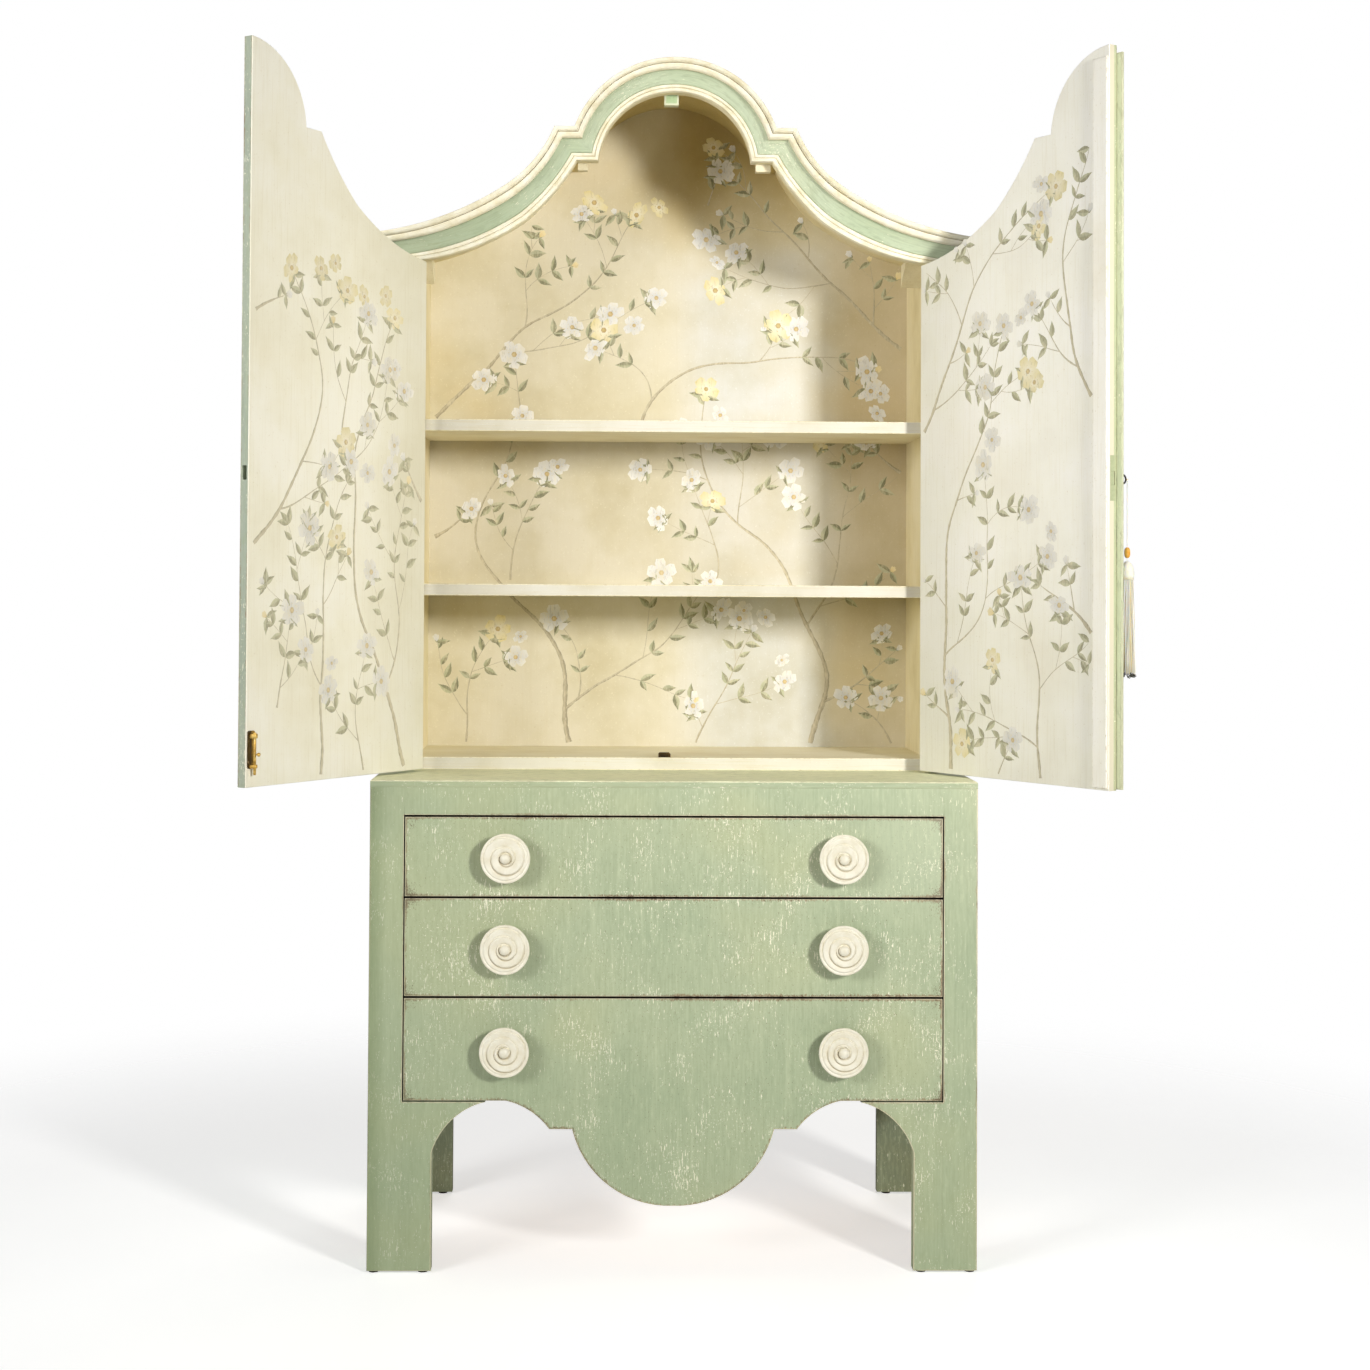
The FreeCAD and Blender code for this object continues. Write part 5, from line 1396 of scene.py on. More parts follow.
plate("bolt_back_plate", rounded(BA - 9.5, BA + 9.5, 937.0, 1003.0, 4.0), 25.0, 23.5,
      lambda u, v, t: DL(u, t, v), "left_door", ["brass_rod_shadow"] * 3, radii=0.5, back_r=0.1,
      replaces=["bolt_plate"], add_marks=False)
bm = bmesh.new()
for z0, z1 in ((938.0, 944.0), (990.0, 998.0)):
    N_ = 36
    rows = []
    zs = [(z0, 0.7), (z0 + 0.5, 0.25), (z0 + 1.1, 0.0), (z1 - 1.1, 0.0), (z1 - 0.5, 0.25), (z1, 0.7)]
    for z, ins in zs:
        outer = []
        for k in range(N_):
            th = 2 * math.pi * k / N_
            c, s_ = math.cos(th), math.sin(th)
            lim = []
            if abs(c) > 1e-6:
                lim.append(5.5 / abs(c))
            if s_ < -1e-6:
                lim.append(7.9 / -s_)
            if s_ > -0.02:
                # domed top
                A_, B_, C_ = (c / 5.5) ** 2 + (s_ / 4.9) ** 2, 2 * 0.4 * s_ / 4.9 ** 2, (0.4 / 4.9) ** 2 - 1
                lim.append((-B_ + math.sqrt(B_ * B_ - 4 * A_ * C_)) / (2 * A_))
            r = min(lim) - ins
            outer.append((r * c, r * s_))
        rows.append([bm.verts.new(DL(BA + p[0], RB + p[1], z)) for p in outer])
    inn = [[bm.verts.new(DL(BA + 2.62 * math.cos(2 * math.pi * k / N_), RB + 2.62 * math.sin(2 * math.pi * k / N_), z))
            for k in range(N_)] for z in (z0, z1)]
    for a, b in zip(rows[:-1], rows[1:]):
        for k in range(N_):
            bm.faces.new((a[k], a[(k + 1) % N_], b[(k + 1) % N_], b[k]))
    for k in range(N_):
        j = (k + 1) % N_
        bm.faces.new((rows[0][k], inn[0][k], inn[0][j], rows[0][j]))
        bm.faces.new((rows[-1][k], rows[-1][j], inn[1][j], inn[1][k]))
        bm.faces.new((inn[0][k], inn[1][k], inn[1][j], inn[0][j]))
finish_bm(bm, "bolt_guides", ["gold_brass"], "left_door", (), smooth=35.0)
bm = bmesh.new()
for da, z in ((7.3, 948.5), (-7.3, 948.5), (7.3, 985.0), (-7.3, 985.0)):
    lathe(bm, DL(BA + da, 24.9, z), B_L, [(0, 1.9), (0.25, 1.85), (0.55, 1.45), (0.72, 0.8), (0.76, 0.0)], 16)
finish_bm(bm, "bolt_screws", ["screw_steel"], "left_door", (), smooth=50.0)
bm = bmesh.new()
lathe(bm, DL(BA, RB, 926.0), UP, [(0, 0.0), (0.05, 1.2), (0.5, 2.1), (1.2, 2.5), (73.3, 2.5), (73.8, 2.3), (74.0, 1.8), (74.0, 0.0)], 28)
lathe(bm, DL(BA, RB, 962.0), B_L, [(1.5, 1.9), (2.6, 1.9), (3.0, 1.35), (5.2, 1.3), (5.5, 1.9), (6.0, 2.05), (6.4, 1.7)]
      + [(9.2 - 3.4 * math.cos(math.radians(a)), 3.4 * math.sin(math.radians(a))) for a in range(34, 180, 12)]
      + [(12.6, 0.0)], 24)
finish_bm(bm, "bolt_slide", ["gold_brass"], "flush_bolt", ["bolt_rod"], smooth=40.0)

# key and its plate on the outside of the right door
KA, KZ = 480.0, 1453.0
stad = []
for cz, a0 in ((KZ + 5.0, 0), (KZ - 5.0, 180)):
    for k in range(13):
        a = math.radians(a0 + 15.0 * k)
        stad.append((KA + 7.0 * math.cos(a), cz + 7.0 * math.sin(a)))
plate("key_plate", stad, -3.0, -1.5, lambda u, v, t: DR(u, t, v), "right_door", ["dark_iron"] * 3,
      radii=0.45, back_r=0.1, replaces=["escutcheon"], add_marks=False,
      holes=[(KA, KZ, 3.2, 1.4)])
bm = bmesh.new()
for dz in (9.2, -9.2):
    lathe(bm, DR(KA, -2.95, KZ + dz), -B_R, [(0, 1.3), (0.2, 1.25), (0.45, 0.7), (0.5, 0.0)], 14)
finish_bm(bm, "key_plate_pins", ["dark_iron"], "right_door", (), smooth=50.0)
bm = bmesh.new()
lathe(bm, DR(KA, -22.4, KZ), B_R, [(0, 0.0), (0.1, 1.7), (0.9, 2.5), (1.6, 3.1), (2.4, 3.1), (3.0, 2.4), (4.0, 2.15),
                                   (12.6, 2.3), (13.2, 3.0), (13.6, 3.9), (14.6, 4.0), (15.6, 3.9), (16.2, 2.9), (16.8, 2.5),
                                   (40.3, 2.5), (40.8, 2.1), (40.9, 0.0)], 28)
ringp = []
for k in range(44):
    a = 2 * math.pi * k / 44
    ringp.append(DR(KA, -29.9 + 8.0 * math.cos(a), KZ + 8.0 * math.sin(a)))
tube(bm, ringp, 1.6, 12, closed=True)
finish_bm(bm, "key_with_ring", ["dark_iron"], "key", ["door_key"], smooth=45.0)

# ------------------------------------------------------------------- tassel
TX, TY = DR(KA, -42.0, 0).x, DR(KA, -42.0, 0).y
ROUTE = [(TX, TY, 1.4515), (TX, TY, 1.4395), (TX, TY, 1.3080)]
cu = bpy.data.curves.new("cord_route", "CURVE")
cu.dimensions = "3D"
sp = cu.splines.new("NURBS")
sp.points.add(len(ROUTE) - 1)
for i_, p_ in enumerate(ROUTE):
    sp.points[i_].co = (p_[0], p_[1], p_[2], 1.0)
sp.order_u = 3
sp.use_endpoint_u = True
sp.resolution_u = 48
cob = bpy.data.objects.new("cord_route", cu)
SCENE.collection.objects.link(cob)
bpy.context.view_layer.update()
cme = bpy.data.meshes.new_from_object(cob.evaluated_get(bpy.context.evaluated_depsgraph_get()))
LINE = [v.co.copy() for v in cme.vertices]
bpy.data.objects.remove(cob)
bpy.data.curves.remove(cu)
bpy.data.meshes.remove(cme)


def along(line, count):
    d = [0.0]
    for a, b in zip(line[:-1], line[1:]):
        d.append(d[-1] + (b - a).length)
    out = []
    k = 0
    for i in range(count):
        s_ = d[-1] * i / (count - 1)
        while k < len(line) - 2 and d[k + 1] < s_:
            k += 1
        f = (s_ - d[k]) / max(d[k + 1] - d[k], 1e-9)
        out.append(line[k].lerp(line[k + 1], f))
    return out, d[-1]


bm = bmesh.new()
tl = bm.verts.layers.float_color.new("tint")
fine, total_len = along(LINE, 330)
turns_n = total_len / 0.0042
for ply in range(2):
    pts_ = []
    for i_, c in enumerate(fine):
        j_ = min(i_, len(fine) - 2)
        d = (fine[j_ + 1] - fine[j_]).normalized()
        x, y = ring_frame(d)
        a = 2 * math.pi * (turns_n * i_ / (len(fine) - 1) + ply * 0.5)
        pts_.append(c + (x * math.cos(a) + y * math.sin(a)) * 0.00048)
    tube(bm, pts_, 0.54, 6, tl, lin("#FDFAF0"))
cord_piece = finish_bm(bm, "tassel_cord_line", ["silk"], "tassel", ["tassel_cord"], smooth=None)
rng = random.Random(11)
bm = bmesh.new()
tl = bm.verts.layers.float_color.new("tint")
for k in range(4):
    # the knot under the ring: four tight turns of the cord
    loop = []
    tilt = rng.uniform(-0.35, 0.35)
    for j in range(20):
        a = 2 * math.pi * j / 20
        loop.append(Vector((TX + 0.00125 * math.cos(a), TY + 0.00125 * math.sin(a),
                            1.4520 + 0.0006 * k - 0.0001 + 0.0006 * math.sin(a + 2.1 * k) * tilt)))
    tube(bm, loop, 0.52, 6, tl, lin("#EEE7D0"), closed=True)
knot_piece = finish_bm(bm, "cord_knot", ["silk"], "tassel", (), smooth=None)

# faceted amber bead
bm = bmesh.new()
lathe(bm, Vector((TX, TY, 1.313)), UP, [(0, 1.6), (0.6, 3.0), (3.2, 4.7), (6.6, 5.4), (12.4, 5.45), (15.8, 4.8),
                                        (18.4, 3.0), (19.0, 1.6)], 9)
bead_piece = finish_bm(bm, "amber_bead", ["amber"], "tassel", ["tassel_bead"], smooth=8.0)

# wound head
bm = bmesh.new()
tl = bm.verts.layers.float_color.new("tint")
prof = []
for k in range(63):
    f = k / 62.0
    zz = 31.0 * f
    keys = [(0, 9.6), (2.0, 11.6), (5.0, 12.9), (9.0, 13.3), (14.0, 12.6), (19.0, 10.9), (23.5, 8.6), (27.5, 5.8), (30.0, 3.4), (31.0, 1.6)]
    for (a0, r0), (a1, r1) in zip(keys[:-1], keys[1:]):
        if a0 <= zz <= a1:
            u = (zz - a0) / (a1 - a0)
            u = u * u * (3 - 2 * u) * 0.3 + u * 0.7
            prof.append((zz, r0 + (r1 - r0) * u + 0.13 * math.cos(math.pi * k)))
            break
lathe(bm, Vector((TX, TY, 1.277)), UP, prof, 40, tl, lin("#FBF7E8"))
for k in range(3):
    loop = [Vector((TX + (10.6 + 0.25 * (k == 1)) / 1000 * math.cos(2 * math.pi * j / 36), TY + (10.6 + 0.25 * (k == 1)) / 1000 * math.sin(2 * math.pi * j / 36),
                    1.2752 + 0.0013 * k)) for j in range(36)]
    tube(bm, loop, 0.85, 6, tl, lin("#E6DDC2"), closed=True)
head_piece = finish_bm(bm, "tassel_wound_head", ["silk"], "tassel", ["tassel_head"], smooth=50.0)

# skirt: many loose twisted threads, darker tied tips
bm = bmesh.new()
tl = bm.verts.layers.float_color.new("tint")
NS = 150
for k in range(NS):
    f = math.sqrt((k + 0.5) / NS)
    a = k * 2.39996
    r0, r1 = 10.2 * f, 14.6 * f + 0.5
    z1 = 1105.5 + rng.uniform(0, 6.5)
    wob = rng.uniform(0.3, 1.0)
    p1, p2 = rng.uniform(0, 6.28), rng.uniform(0, 6.28)
    gold = rng.random() < 0.12
    base_c = lin(rng.choice(["#FDF9EC", "#FBF5E4", "#FFFCF4", "#F7F0DC"])) if not gold else lin(rng.choice(["#F3E4B4", "#EFDCA4"]))
    pts_, rad_, tin_ = [], [], []
    for j in range(12):
        t_ = j / 11.0
        z = 1276.5 + (z1 - 1276.5) * t_
        r = r0 + (r1 - r0) * t_ + 0.9 * math.sin(3.0 * t_ + p1) * t_
        aa = a + 0.10 * math.sin(2.4 * t_ + p2)
        wx = wob * math.sin(5.5 * t_ + p1) * t_ * (1 - 0.4 * t_)
        wy = wob * math.cos(4.7 * t_ + p2) * t_ * (1 - 0.4 * t_)
        x, y = r * math.cos(aa) + wx, r * math.sin(aa) + wy
        h = math.hypot(x, y)
        lim = 13.3 + 5.0 * t_
        if h > lim:
            x, y = x * lim / h, y * lim / h
        pts_.append(Vector((TX + x / 1000, TY + y / 1000, z / 1000)))
        rad_.append(0.62 if j < 11 else 0.35)
        sh = 1.0 if t_ < 0.93 else 0.86
        tin_.append(tuple(c_ * sh for c_ in base_c[:3]) + (1.0,))
    tube(bm, pts_, rad_, 5, tl, tin_)
for k in range(28):
    a = 2 * math.pi * k / 14 + rng.uniform(-0.22, 0.22)
    ra, rb = rng.uniform(4.0, 9.0), rng.uniform(10.0, 18.2)
    z = 1103.4 + rng.uniform(-3.4, 4.2)
    pts_ = []
    for j in range(5):
        t_ = j / 4.0
        r = ra + (rb - ra) * t_
        pts_.append(Vector((TX + r * math.cos(a + 0.2 * t_) / 1000, TY + r * math.sin(a + 0.2 * t_) / 1000,
                            (z + rng.uniform(-0.4, 0.4) + 2.0 * (1 - t_) - 1.5 * t_) / 1000)))
    tube(bm, pts_, [1.2, 1.7, 1.2, 1.4, 0.4] if k % 2 else [1.6, 1.1, 1.5, 0.8, 0.3], 5, tl, lin(rng.choice(["#2E3024", "#3A3D2C", "#24261C"])))
skirt_piece = finish_bm(bm, "tassel_threads", ["silk"], "tassel", ["tassel_skirt"], smooth=70.0)

# ============================================================ painted sprays
class Art:
    """Sprays of small blossoms on branching stems, as very thin relief. (u, v) are
    millimetres on the panel and h the height above it."""

    def __init__(self, seed, inside, pale=0.0):
        self.rng = random.Random(seed)
        self.inside = inside
        self.pale = pale
        self.V, self.F, self.C = [], [], []
        self.busy = []                       # (u, v, radius)
        self.grid = {}

    # -------------------------------------------------------------- helpers
    def tone(self, hexa, k=0.06):
        c = lin(hexa)
        g = lin("#E7DFC4")
        j = 1.0 + self.rng.uniform(-k, k)
        return tuple(min(1.0, (c[i] * (1 - self.pale) + g[i] * self.pale) * j) for i in range(3)) + (1.0,)

    def claim(self, u, v, r):
        self.grid.setdefault((int(u // 40), int(v // 40)), []).append((u, v, r))

    def free(self, u, v, r, skip=None, skip_r=0.0):
        cu, cv = int(u // 40), int(v // 40)
        for a in (-2, -1, 0, 1, 2):
            for b in (-2, -1, 0, 1, 2):
                for (x, y, q) in self.grid.get((cu + a, cv + b), ()):
                    if skip and (x - skip[0]) ** 2 + (y - skip[1]) ** 2 < skip_r ** 2:
                        continue
                    if (x - u) ** 2 + (y - v) ** 2 < (q + r) ** 2:
                        return False
        return True

    def fan(self, pts, centre, hc, hr, cc, cr):
        """A shallow dome over the closed outline pts."""
        b = len(self.V)
        self.V.append((centre[0], centre[1], hc))
        self.C.append(cc)
        for k, (u, v) in enumerate(pts):
            self.V.append((u, v, hr))
            self.C.append(cr[k] if isinstance(cr, list) else cr)
        n = len(pts)
        for k in range(n):
            self.F.append((b, b + 1 + k, b + 1 + (k + 1) % n))

    def leaf(self, u, v, ang, length, width, lvl=0.0, mood=0):
        """Pointed leaf folded along its rib, one half darker."""
        r = self.rng
        bend = r.uniform(-0.25, 0.25)
        dark = self.tone(r.choice(["#74765A", "#7F8061", "#6C6E50", "#85866A"]))
        lite = self.tone(r.choice(["#A2A685", "#AAAE8E", "#989C7A", "#B2B497"]))
        edge = self.tone("#BABB9C")
        rib, lo, hi = [], [], []
        n = 6
        for k in range(n + 1):
            t = k / n
            a = ang + bend * t
            w = width * (math.sin(math.pi * min(t * 1.06, 1.0) ** 0.8)) * 0.5
            w = max(w, 0.18)
            cu = u + length * t * math.cos(a)
            cv = v + length * t * math.sin(a)
            rib.append((cu, cv))
            lo.append((cu + w * math.sin(a), cv - w * math.cos(a)))
            hi.append((cu - w * math.sin(a), cv + w * math.cos(a)))
        b = len(self.V)
        h0 = 0.22 + lvl
        for k in range(n + 1):
            for (p, h, c) in ((rib[k], h0 + 0.16, dark), (lo[k], h0 - 0.30, dark if k % n else edge),
                              (rib[k], h0 + 0.16, lite), (hi[k], h0 - 0.30, edge)):
                self.V.append((p[0], p[1], h))
                self.C.append(c)
        for k in range(n):
            a0, a1 = b + 4 * k, b + 4 * k + 4
            self.F.append((a0, a0 + 1, a1 + 1, a1))
            self.F.append((a0 + 2, a1 + 2, a1 + 3, a0 + 3))

    def petal(self, u, v, ang, length, width, sq, axis, inner, outer, h):
        pts, cols = [], []
        n = 10
        for k in range(n):
            t = 2 * math.pi * k / n
            lx = length * (0.5 - 0.5 * math.cos(t))
            ly = width * 0.5 * math.sin(t) * (0.55 + 0.45 * (lx / length))
            if abs(t - math.pi) < 0.2:
                lx *= 0.90
            x = lx * math.cos(ang) - ly * math.sin(ang)
            y = lx * math.sin(ang) + ly * math.cos(ang)
            # squash along one axis for a flower seen partly from the side
            ca, sa = math.cos(axis), math.sin(axis)
            p, q_ = x * ca + y * sa, -x * sa + y * ca
            q_ *= sq
            x, y = p * ca - q_ * sa, p * sa + q_ * ca
            pts.append((u + x, v + y))
            f = lx / length
            cols.append(tuple(inner[i] * (1 - f) + outer[i] * f for i in range(3)) + (1.0,))
        cx = sum(p[0] for p in pts) / n
        cy = sum(p[1] for p in pts) / n
        mid = tuple(0.45 * inner[i] + 0.55 * outer[i] for i in range(3)) + (1.0,)
        self.fan(pts, (cx, cy), h + 0.16, h - 0.18, mid, cols)

    def blossom(self, u, v, size, kind, own=None):
        r = self.rng
        if not (self.inside(u, v, size * 0.55) and self.free(u, v, size * 0.36, own, size * 0.75)):
            return False
        self.claim(u, v, size * 0.5)
        if kind == "yellow":
            inner, outer = self.tone("#F6F1E2"), self.tone("#E8D88E", 0.05)
            heart = self.tone("#D6BC72")
        else:
            inner, outer = self.tone("#D0D2D6"), self.tone("#F8F7F4", 0.02)
            heart = self.tone("#D9C48B")
        a0 = r.uniform(0, 6.28)
        sq, ax = r.uniform(0.62, 1.0), r.uniform(0, 3.14)
        m = 5
        for k in range(m):
            a = a0 + 2 * math.pi * k / m + r.uniform(-0.12, 0.12)
            L = size * 0.5 * r.uniform(0.9, 1.08)
            dim = r.uniform(0.90, 1.0)
            o = tuple(c * dim for c in outer[:3]) + (1.0,)
            self.petal(u, v, a, L, L * r.uniform(0.86, 1.02), sq, ax, inner, o, 0.34 + 0.05 * (k % 2) + 0.01 * k)
        pts = [(u + 0.085 * size * math.cos(t * 1.0472), v + 0.085 * size * math.sin(t * 1.0472)) for t in range(6)]
        self.fan(pts, (u, v), 0.72, 0.50, heart, self.tone("#B99A5E"))
        for k in range(7):
            t = a0 + k * 0.9 + r.uniform(-0.2, 0.2)
            d = size * 0.17
            su, sv = u + d * math.cos(t), v + d * math.sin(t)
            pts = [(su + 0.9 * math.cos(q * 1.2566), sv + 0.9 * math.sin(q * 1.2566)) for q in range(5)]
            self.fan(pts, (su, sv), 0.66, 0.48, heart, heart)
        return True

    def bud(self, u, v, ang, size, kind):
        r = self.rng
        if not self.inside(u, v, size * 0.5):
            return
        if kind == "yellow":
            inner, outer = self.tone("#E2C878"), self.tone("#F0E3B8")
        else:
            inner, outer = self.tone("#CED0D4"), self.tone("#F4F3F0")
        for da in (-0.32, 0.32, 0.0):
            self.petal(u, v, ang + da, size * (0.9 if da else 1.0), size * 0.42, 1.0, 0.0, inner, outer,
                       0.30 + (0.06 if da == 0 else 0.0))
        self.leaf(u - 1.5 * math.cos(ang), v - 1.5 * math.sin(ang), ang + 0.5, size * 0.42, size * 0.16, 0.12)
        self.leaf(u - 1.5 * math.cos(ang), v - 1.5 * math.sin(ang), ang - 0.5, size * 0.42, size * 0.16, 0.12)

    def ribbon(self, pts, w0, w1, hexa="#A89E86"):
        """Tapered stem with a raised middle and a darker lower side."""
        r = self.rng
        n = len(pts)
        base = self.tone(hexa, 0.04)
        dark = tuple(c * 0.72 for c in base[:3]) + (1.0,)
        lite = self.tone("#C2B79C", 0.03)
        b = len(self.V)
        ph = r.uniform(0, 6)
        for k, (u, v) in enumerate(pts):
            p, q_ = pts[max(0, k - 1)], pts[min(n - 1, k + 1)]
            a = math.atan2(q_[1] - p[1], q_[0] - p[0])
            t = k / max(1, n - 1)
            w = (w0 + (w1 - w0) * t ** 0.8) * (1 + 0.14 * math.sin(k * 1.9 + ph) + 0.1 * math.sin(k * 0.77 + 2 * ph))
            if k == n - 1:
                w *= 0.3
            s, c = math.sin(a), math.cos(a)
            for (o, h, col) in ((0.5, -0.05, base), (0.12, 0.16 + 0.012 * min(w, 8), lite),
                                (-0.2, 0.15 + 0.012 * min(w, 8), base), (-0.5, -0.05, dark)):
                self.V.append((u - o * w * s, v + o * w * c, h))
                self.C.append(col)
        for k in range(n - 1):
            for j in range(3):
                a0, a1 = b + 4 * k + j, b + 4 * k + 4 + j
                self.F.append((a0, a1, a1 + 1, a0 + 1))

    # -------------------------------------------------------------- growth
    def walk(self, u, v, ang, length, bias, turn, gap, skip_r):
        """Points of one stem; stops where it would leave the panel or crowd another."""
        r = self.rng
        pts = [(u, v)]
        step = 7.0
        curl = r.uniform(-turn, turn)
        start = (u, v)
        for k in range(int(length / step)):
            curl = 0.90 * curl + r.uniform(-turn, turn) * 0.45
            d = math.atan2(math.sin(bias - ang), math.cos(bias - ang))
            ang += curl + 0.018 * d
            u += step * math.cos(ang)
            v += step * math.sin(ang)
            if not self.inside(u, v, 8.0):
                break
            if not self.free(u, v, gap, start, skip_r):
                break
            pts.append((u, v))
        return pts

    def stem(self, u, v, ang, length, width, bias, level=0, kinds=("white",), turn=0.05, gap=16.0):
        r = self.rng
        best = None
        for _ in range(10):
            p = self.walk(u, v, ang + r.uniform(-0.12, 0.12), length, bias, turn, gap, 60.0 if level == 0 else 26.0)
            if best is None or len(p) > len(best):
                best = p
        pts = best
        if len(pts) < 6:
            return False
        n = len(pts)
        tip = max(0.9, width * 0.16)
        self.ribbon(pts, width, tip, r.choice(["#A89E86", "#A29880", "#AEA48C"]))
        for (a, b) in pts[2:]:
            self.claim(a, b, max(1.5, width * 0.4))
        # side shoots
        shoots = []
        if level < 2:
            every = {0: 15, 1: 11}[level]
            k = r.randint(max(3, every // 2), every)
            side = r.choice((-1, 1))
            while k < n - 3:
                shoots.append((k, side))
                side = -side if r.random() < 0.8 else side
                k += r.randint(int(every * 0.7), int(every * 1.25) + 1)
        for k, side in shoots:
            p, q_ = pts[k - 1], pts[k + 1]
            a = math.atan2(q_[1] - p[1], q_[0] - p[0]) + side * r.uniform(0.5, 0.95)
            t = k / n
            L = (n - k) * 7.0 * r.uniform(0.45, 0.75) + 35
            L = min(L, {0: 400.0, 1: 170.0}[level])
            w = (width + (tip - width) * t ** 0.8) * r.uniform(0.5, 0.66)
            self.stem(pts[k][0], pts[k][1], a, L, max(w, 1.3), bias + side * r.uniform(0.2, 0.9), level + 1,
                      kinds, turn * 1.15, 13.0 if level else 15.0)
        # leaves on the thin wood
        k = max(3, int(n * {0: 0.72, 1: 0.55, 2: 0.35}[level]))
        side = r.choice((-1, 1))
        while k < n - 1:
            t = k / n
            w = width + (tip - width) * t ** 0.8
            if w < 3.6:
                p, q_ = pts[k - 1], pts[k + 1]
                a = math.atan2(q_[1] - p[1], q_[0] - p[0])
                for sd in ((side,) if r.random() < 0.4 else (side, -side)):
                    L = r.uniform(25, 37)
                    la = a + sd * r.uniform(0.55, 1.05)
                    mu, mv = pts[k][0] + 0.75 * L * math.cos(la), pts[k][1] + 0.75 * L * math.sin(la)
                    if self.inside(mu, mv, 9.0) and self.free(mu, mv, 3.5, pts[k], 12.0):
                        self.leaf(pts[k][0], pts[k][1], la, L, L * r.uniform(0.40, 0.52), 0.02)
                        self.claim(mu, mv, 6.0)
                side = -side
                k += r.choice((4, 5, 6, 7))
            else:
                k += 2
        # the end of the shoot: a blossom, a bud or a tuft of leaves
        p, q_ = pts[-3], pts[-1]
        a = math.atan2(q_[1] - p[1], q_[0] - p[0])
        kind = r.choice(kinds)
        pick = r.random()
        eu, ev = pts[-1]
        done = False
        if pick < 0.76:
            size = r.uniform(54, 72)
            cu, cv = eu + 0.22 * size * math.cos(a), ev + 0.22 * size * math.sin(a)
            done = self.blossom(cu, cv, size, kind, (eu, ev))
            if done and r.random() < 0.45:
                s2 = size * r.uniform(0.62, 0.8)
                da = r.choice((-1, 1)) * r.uniform(0.5, 1.4)
                self.blossom(cu + size * 0.78 * math.cos(a + da), cv + size * 0.78 * math.sin(a + da), s2, kind,
                             (cu, cv))
        if not done and pick < 0.9:
            self.bud(eu, ev, a, r.uniform(15, 22), kind)
            self.claim(eu + 8 * math.cos(a), ev + 8 * math.sin(a), 8)
            done = True
        for sd in ((-0.7, 0.7) if done else (-0.75, 0.0, 0.75)):
            L = r.uniform(24, 36)
            la = a + sd + r.uniform(-0.15, 0.15) + (1.2 * (1 if sd > 0 else -1) if done else 0.0)
            mu, mv = eu + 0.7 * L * math.cos(la), ev + 0.7 * L * math.sin(la)
            if self.inside(mu, mv, 8.0):
                self.leaf(eu, ev, la, L, L * 0.46, 0.02)
        return True

t = Tree("painted_sprays", rough=0.6, spec=0.3)
grit = t.noise(t.coords((260.0, 260.0, 90.0)), 1.0, 3.0, 0.6)
tc = t.attr("tint", "Color")
tc = t.mix(0.16, tc, lin("#DDD2B2"))
thin = t.noise(t.coords((34.0, 34.0, 30.0)), 1.0, 3.0, 0.6)
tc = t.mix(t.math("MULTIPLY", t.step(thin, 0.50, 0.68), 0.30), tc, lin("#E0D6B6"))
col = t.mix(t.math("MULTIPLY", t.step(grit, 0.50, 0.66), 0.34), tc, lin("#E9DFC1"))
col = t.mix(t.math("MULTIPLY", t.step(grit, 0.46, 0.30), 0.25), col, lin("#8E8468"), "MULTIPLY")
t.colour(col)
t.rough(t.math("ADD", t.math("MULTIPLY", grit, 0.2), 0.5))
t.normal(t.bump(grit, 0.0001, 0.5))
MATS["painted_sprays"] = t.mat


def panel_art(name, seed, inside, pale, mapf, body, stems):
    art = Art(seed, inside, pale)
    for st in stems:
        art.stem(*st)
    me = bpy.data.meshes.new(name)
    me.from_pydata([mapf(*p) for p in art.V], [], art.F)
    me.update()
    at = me.attributes.new("tint", "FLOAT_COLOR", "POINT")
    at.data.foreach_set("color", [c for col in art.C for c in col])
    me.materials.append(MATS["painted_sprays"])
    # every face looks away from the panel
    ref = mapf(0, 1500, 1.0) - mapf(0, 1500, 0.0)
    bm = bmesh.new()
    bm.from_mesh(me)
    bmesh.ops.reverse_faces(bm, faces=[f for f in bm.faces if f.normal.dot(ref) < 0])
    bm.to_mesh(me)
    bm.free()
    for p in me.polygons:
        p.use_smooth = True
    o = link(name, me)
    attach(o, body)
    return o


_opening = half_profile(0.66, 530.0)


def open_z(x):
    x = abs(x)
    for (x0, z0), (x1, z1) in zip(_opening[:-1], _opening[1:]):
        if x0 <= x <= x1 and x1 > x0:
            return z0 + (z1 - z0) * (x - x0) / (x1 - x0)
    return _opening[-1][1]


def inside_back(u, v, m):
    return -492 + m < u < 492 - m and 930 + m < v < min(open_z(u - m), open_z(u + m), open_z(u)) - m


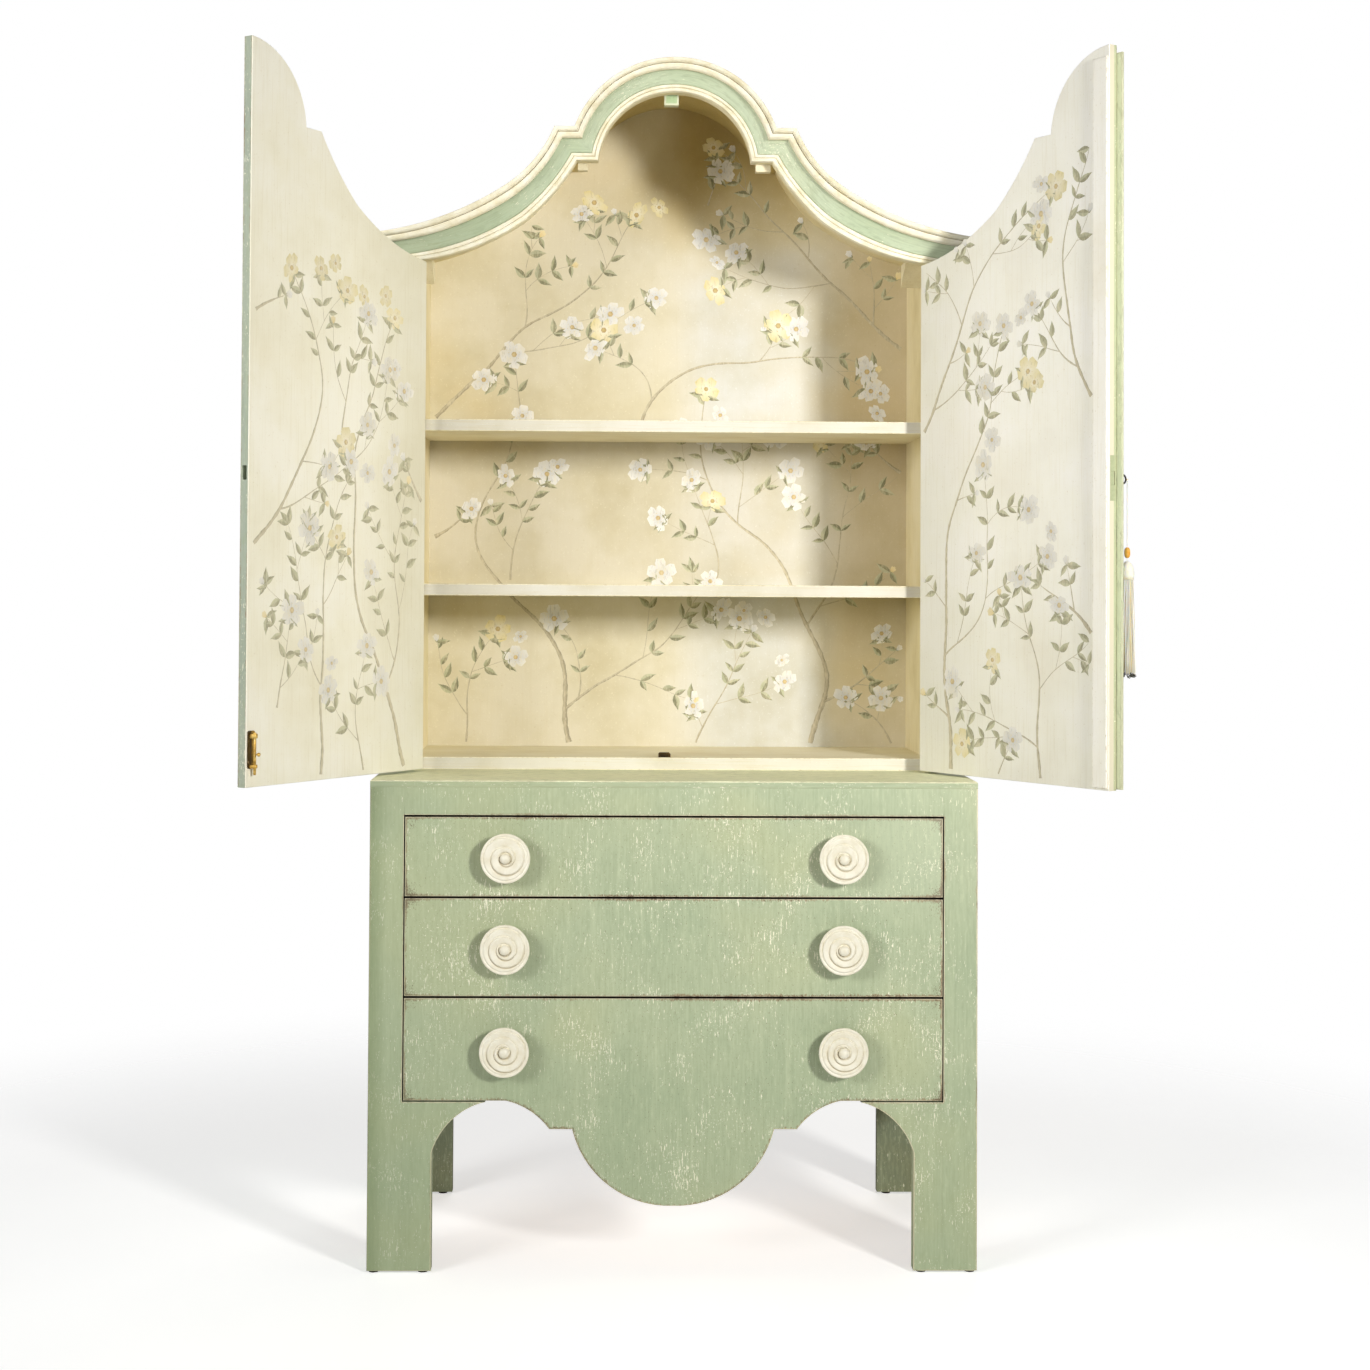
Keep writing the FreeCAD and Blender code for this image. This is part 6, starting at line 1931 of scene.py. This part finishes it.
panel_art("back_sprays", 6, inside_back, 0.0, lambda u, v, h: P(u, 550.0 - h, v), "carcass", [
    (-205, 932, 1.95, 760, 12.5, 1.7, 0, ("white", "white", "yellow")),
    (300, 932, 1.45, 820, 13.0, 1.75, 0, ("white", "white", "yellow")),
    (-488, 1360, 0.45, 520, 9.0, 0.65, 0, ("white", "yellow")),
    (488, 1500, 2.75, 560, 9.0, 2.2, 0, ("white", "yellow")),
    (-488, 1610, 0.9, 600, 9.5, 1.0, 0, ("yellow", "white")),
    (488, 1760, 2.5, 560, 9.0, 2.5, 0, ("white", "yellow")),
    (-60, 1590, 1.35, 560, 8.0, 1.4, 0, ("white", "yellow")),
    (60, 932, 1.2, 260, 5.0, 1.2, 1, ("white",)),
    (-420, 932, 1.3, 240, 5.0, 1.5, 1, ("white", "yellow")),
    (470, 932, 2.0, 240, 5.0, 1.8, 1, ("white",)),
    (100, 1270, 1.2, 240, 5.0, 1.4, 1, ("white", "yellow")),
    (-330, 1270, 1.5, 230, 5.0, 1.5, 1, ("white",)),
    (250, 1590, 1.2, 240, 5.0, 1.3, 1, ("white",)),
    (-300, 1590, 1.9, 200, 4.5, 1.9, 1, ("white", "yellow")),
    (80, 2060, 1.3, 150, 4.5, 1.6, 1, ("white",)),
    (-110, 2000, 2.0, 170, 4.5, 1.9, 1, ("yellow", "white"))])

_door_in = half_profile(0.0, 515.0)


def door_top(a):
    x = 499.5 - a
    for (x0, z0), (x1, z1) in zip(_door_in[:-1], _door_in[1:]):
        if x0 <= x <= x1 and x1 > x0:
            return z0 + (z1 - z0) * (x - x0) / (x1 - x0) - 4.0
    return 1880.0


def inside_left(u, v, m):
    if u > 470 - m and v < 1015 + m:
        return False
    return 8 + m < u < 488 - m and 912 + m < v < min(door_top(u), door_top(max(u - m, 1)), door_top(u + m)) - m


def inside_right(u, v, m):
    return 8 + m < u < 460 - m and 912 + m < v < min(door_top(u), door_top(max(u - m, 1)), door_top(u + m)) - m


panel_art("left_door_sprays", 21, inside_left, 0.30, lambda u, v, h: DL(u, 23.5 + h, v), "left_door", [
    (60, 914, 1.2, 900, 11.0, 1.5, 0, ("white", "white", "yellow")),
    (300, 914, 1.7, 560, 9.0, 1.8, 0, ("yellow", "white")),
    (484, 1330, 2.5, 560, 9.0, 2.2, 0, ("white", "yellow")),
    (12, 1420, 0.9, 620, 9.0, 1.1, 0, ("white",)),
    (484, 1740, 2.6, 560, 8.0, 2.1, 0, ("white", "yellow")),
    (420, 1040, 1.9, 240, 5.0, 1.7, 1, ("white", "yellow")),
    (180, 914, 1.3, 230, 5.0, 1.2, 1, ("white",)),
    (250, 1520, 1.5, 260, 5.0, 1.4, 1, ("white", "yellow"))])
panel_art("right_door_sprays", 34, inside_right, 0.20, lambda u, v, h: DR(u, 23.5 + h, v), "right_door", [
    (90, 914, 1.5, 860, 11.0, 1.4, 0, ("white", "white", "yellow")),
    (456, 1180, 2.2, 620, 9.5, 2.2, 0, ("white", "white")),
    (330, 914, 1.5, 420, 8.0, 1.5, 0, ("yellow", "white")),
    (12, 1560, 0.8, 560, 8.0, 1.1, 0, ("white", "yellow")),
    (456, 1600, 2.2, 520, 8.0, 1.9, 0, ("white",)),
    (220, 914, 1.2, 240, 5.0, 1.2, 1, ("white",)),
    (12, 1240, 0.8, 260, 5.0, 1.2, 1, ("white", "yellow"))])

# =================================================================== stage
t = Tree("studio_floor", rough=0.9, spec=0.1)
pos = t.coords((1, 1, 1))
ln = t.nt.nodes.new("ShaderNodeVectorMath")
ln.operation = "LENGTH"
t.nt.links.new(pos, ln.inputs[0])
far = t.step(ln.outputs["Value"], 1.1, 2.6)
n = t.noise(t.coords((1, 1, 1)), 3.0, 3.0, 0.5)
t.colour(t.ramp(n, [(0.3, (0.90, 0.90, 0.895, 1)), (0.7, (0.93, 0.93, 0.925, 1))]))
em = t.nt.nodes.new("ShaderNodeBsdfTransparent")
glow = t.nt.nodes.new("ShaderNodeEmission")
glow.inputs["Color"].default_value = (1, 1, 1, 1)
lp = t.nt.nodes.new("ShaderNodeLightPath")
t.put(glow, "Strength", t.math("ADD", t.math("MULTIPLY", lp.outputs["Is Camera Ray"], 0.44), 0.06))
adds = t.nt.nodes.new("ShaderNodeAddShader")
t.nt.links.new(t.bsdf.outputs[0], adds.inputs[0])
t.nt.links.new(glow.outputs[0], adds.inputs[1])
mixs = t.nt.nodes.new("ShaderNodeMixShader")
t.nt.links.new(far, mixs.inputs[0])
t.nt.links.new(adds.outputs[0], mixs.inputs[1])
t.nt.links.new(em.outputs[0], mixs.inputs[2])
t.nt.links.new(mixs.outputs[0], t.out.inputs["Surface"])
bm = bmesh.new()
rings = [[bm.verts.new((0, 0, 0))]]
for r in (0.5, 1, 1.5, 2, 2.5, 3, 5, 9, 20, 40):
    rings.append([bm.verts.new((r * math.cos(2 * math.pi * k / 64), r * math.sin(2 * math.pi * k / 64), 0))
                  for k in range(64)])
for k in range(64):
    bm.faces.new((rings[0][0], rings[1][k], rings[1][(k + 1) % 64]))
for a, b in zip(rings[1:-1], rings[2:]):
    for k in range(64):
        bm.faces.new((a[k], b[k], b[(k + 1) % 64], a[(k + 1) % 64]))
me = bpy.data.meshes.new("floor")
bm.to_mesh(me)
bm.free()
me.materials.append(t.mat)
floor = link("floor", me)

# ===================================================================== end
bpy.context.view_layer.update()
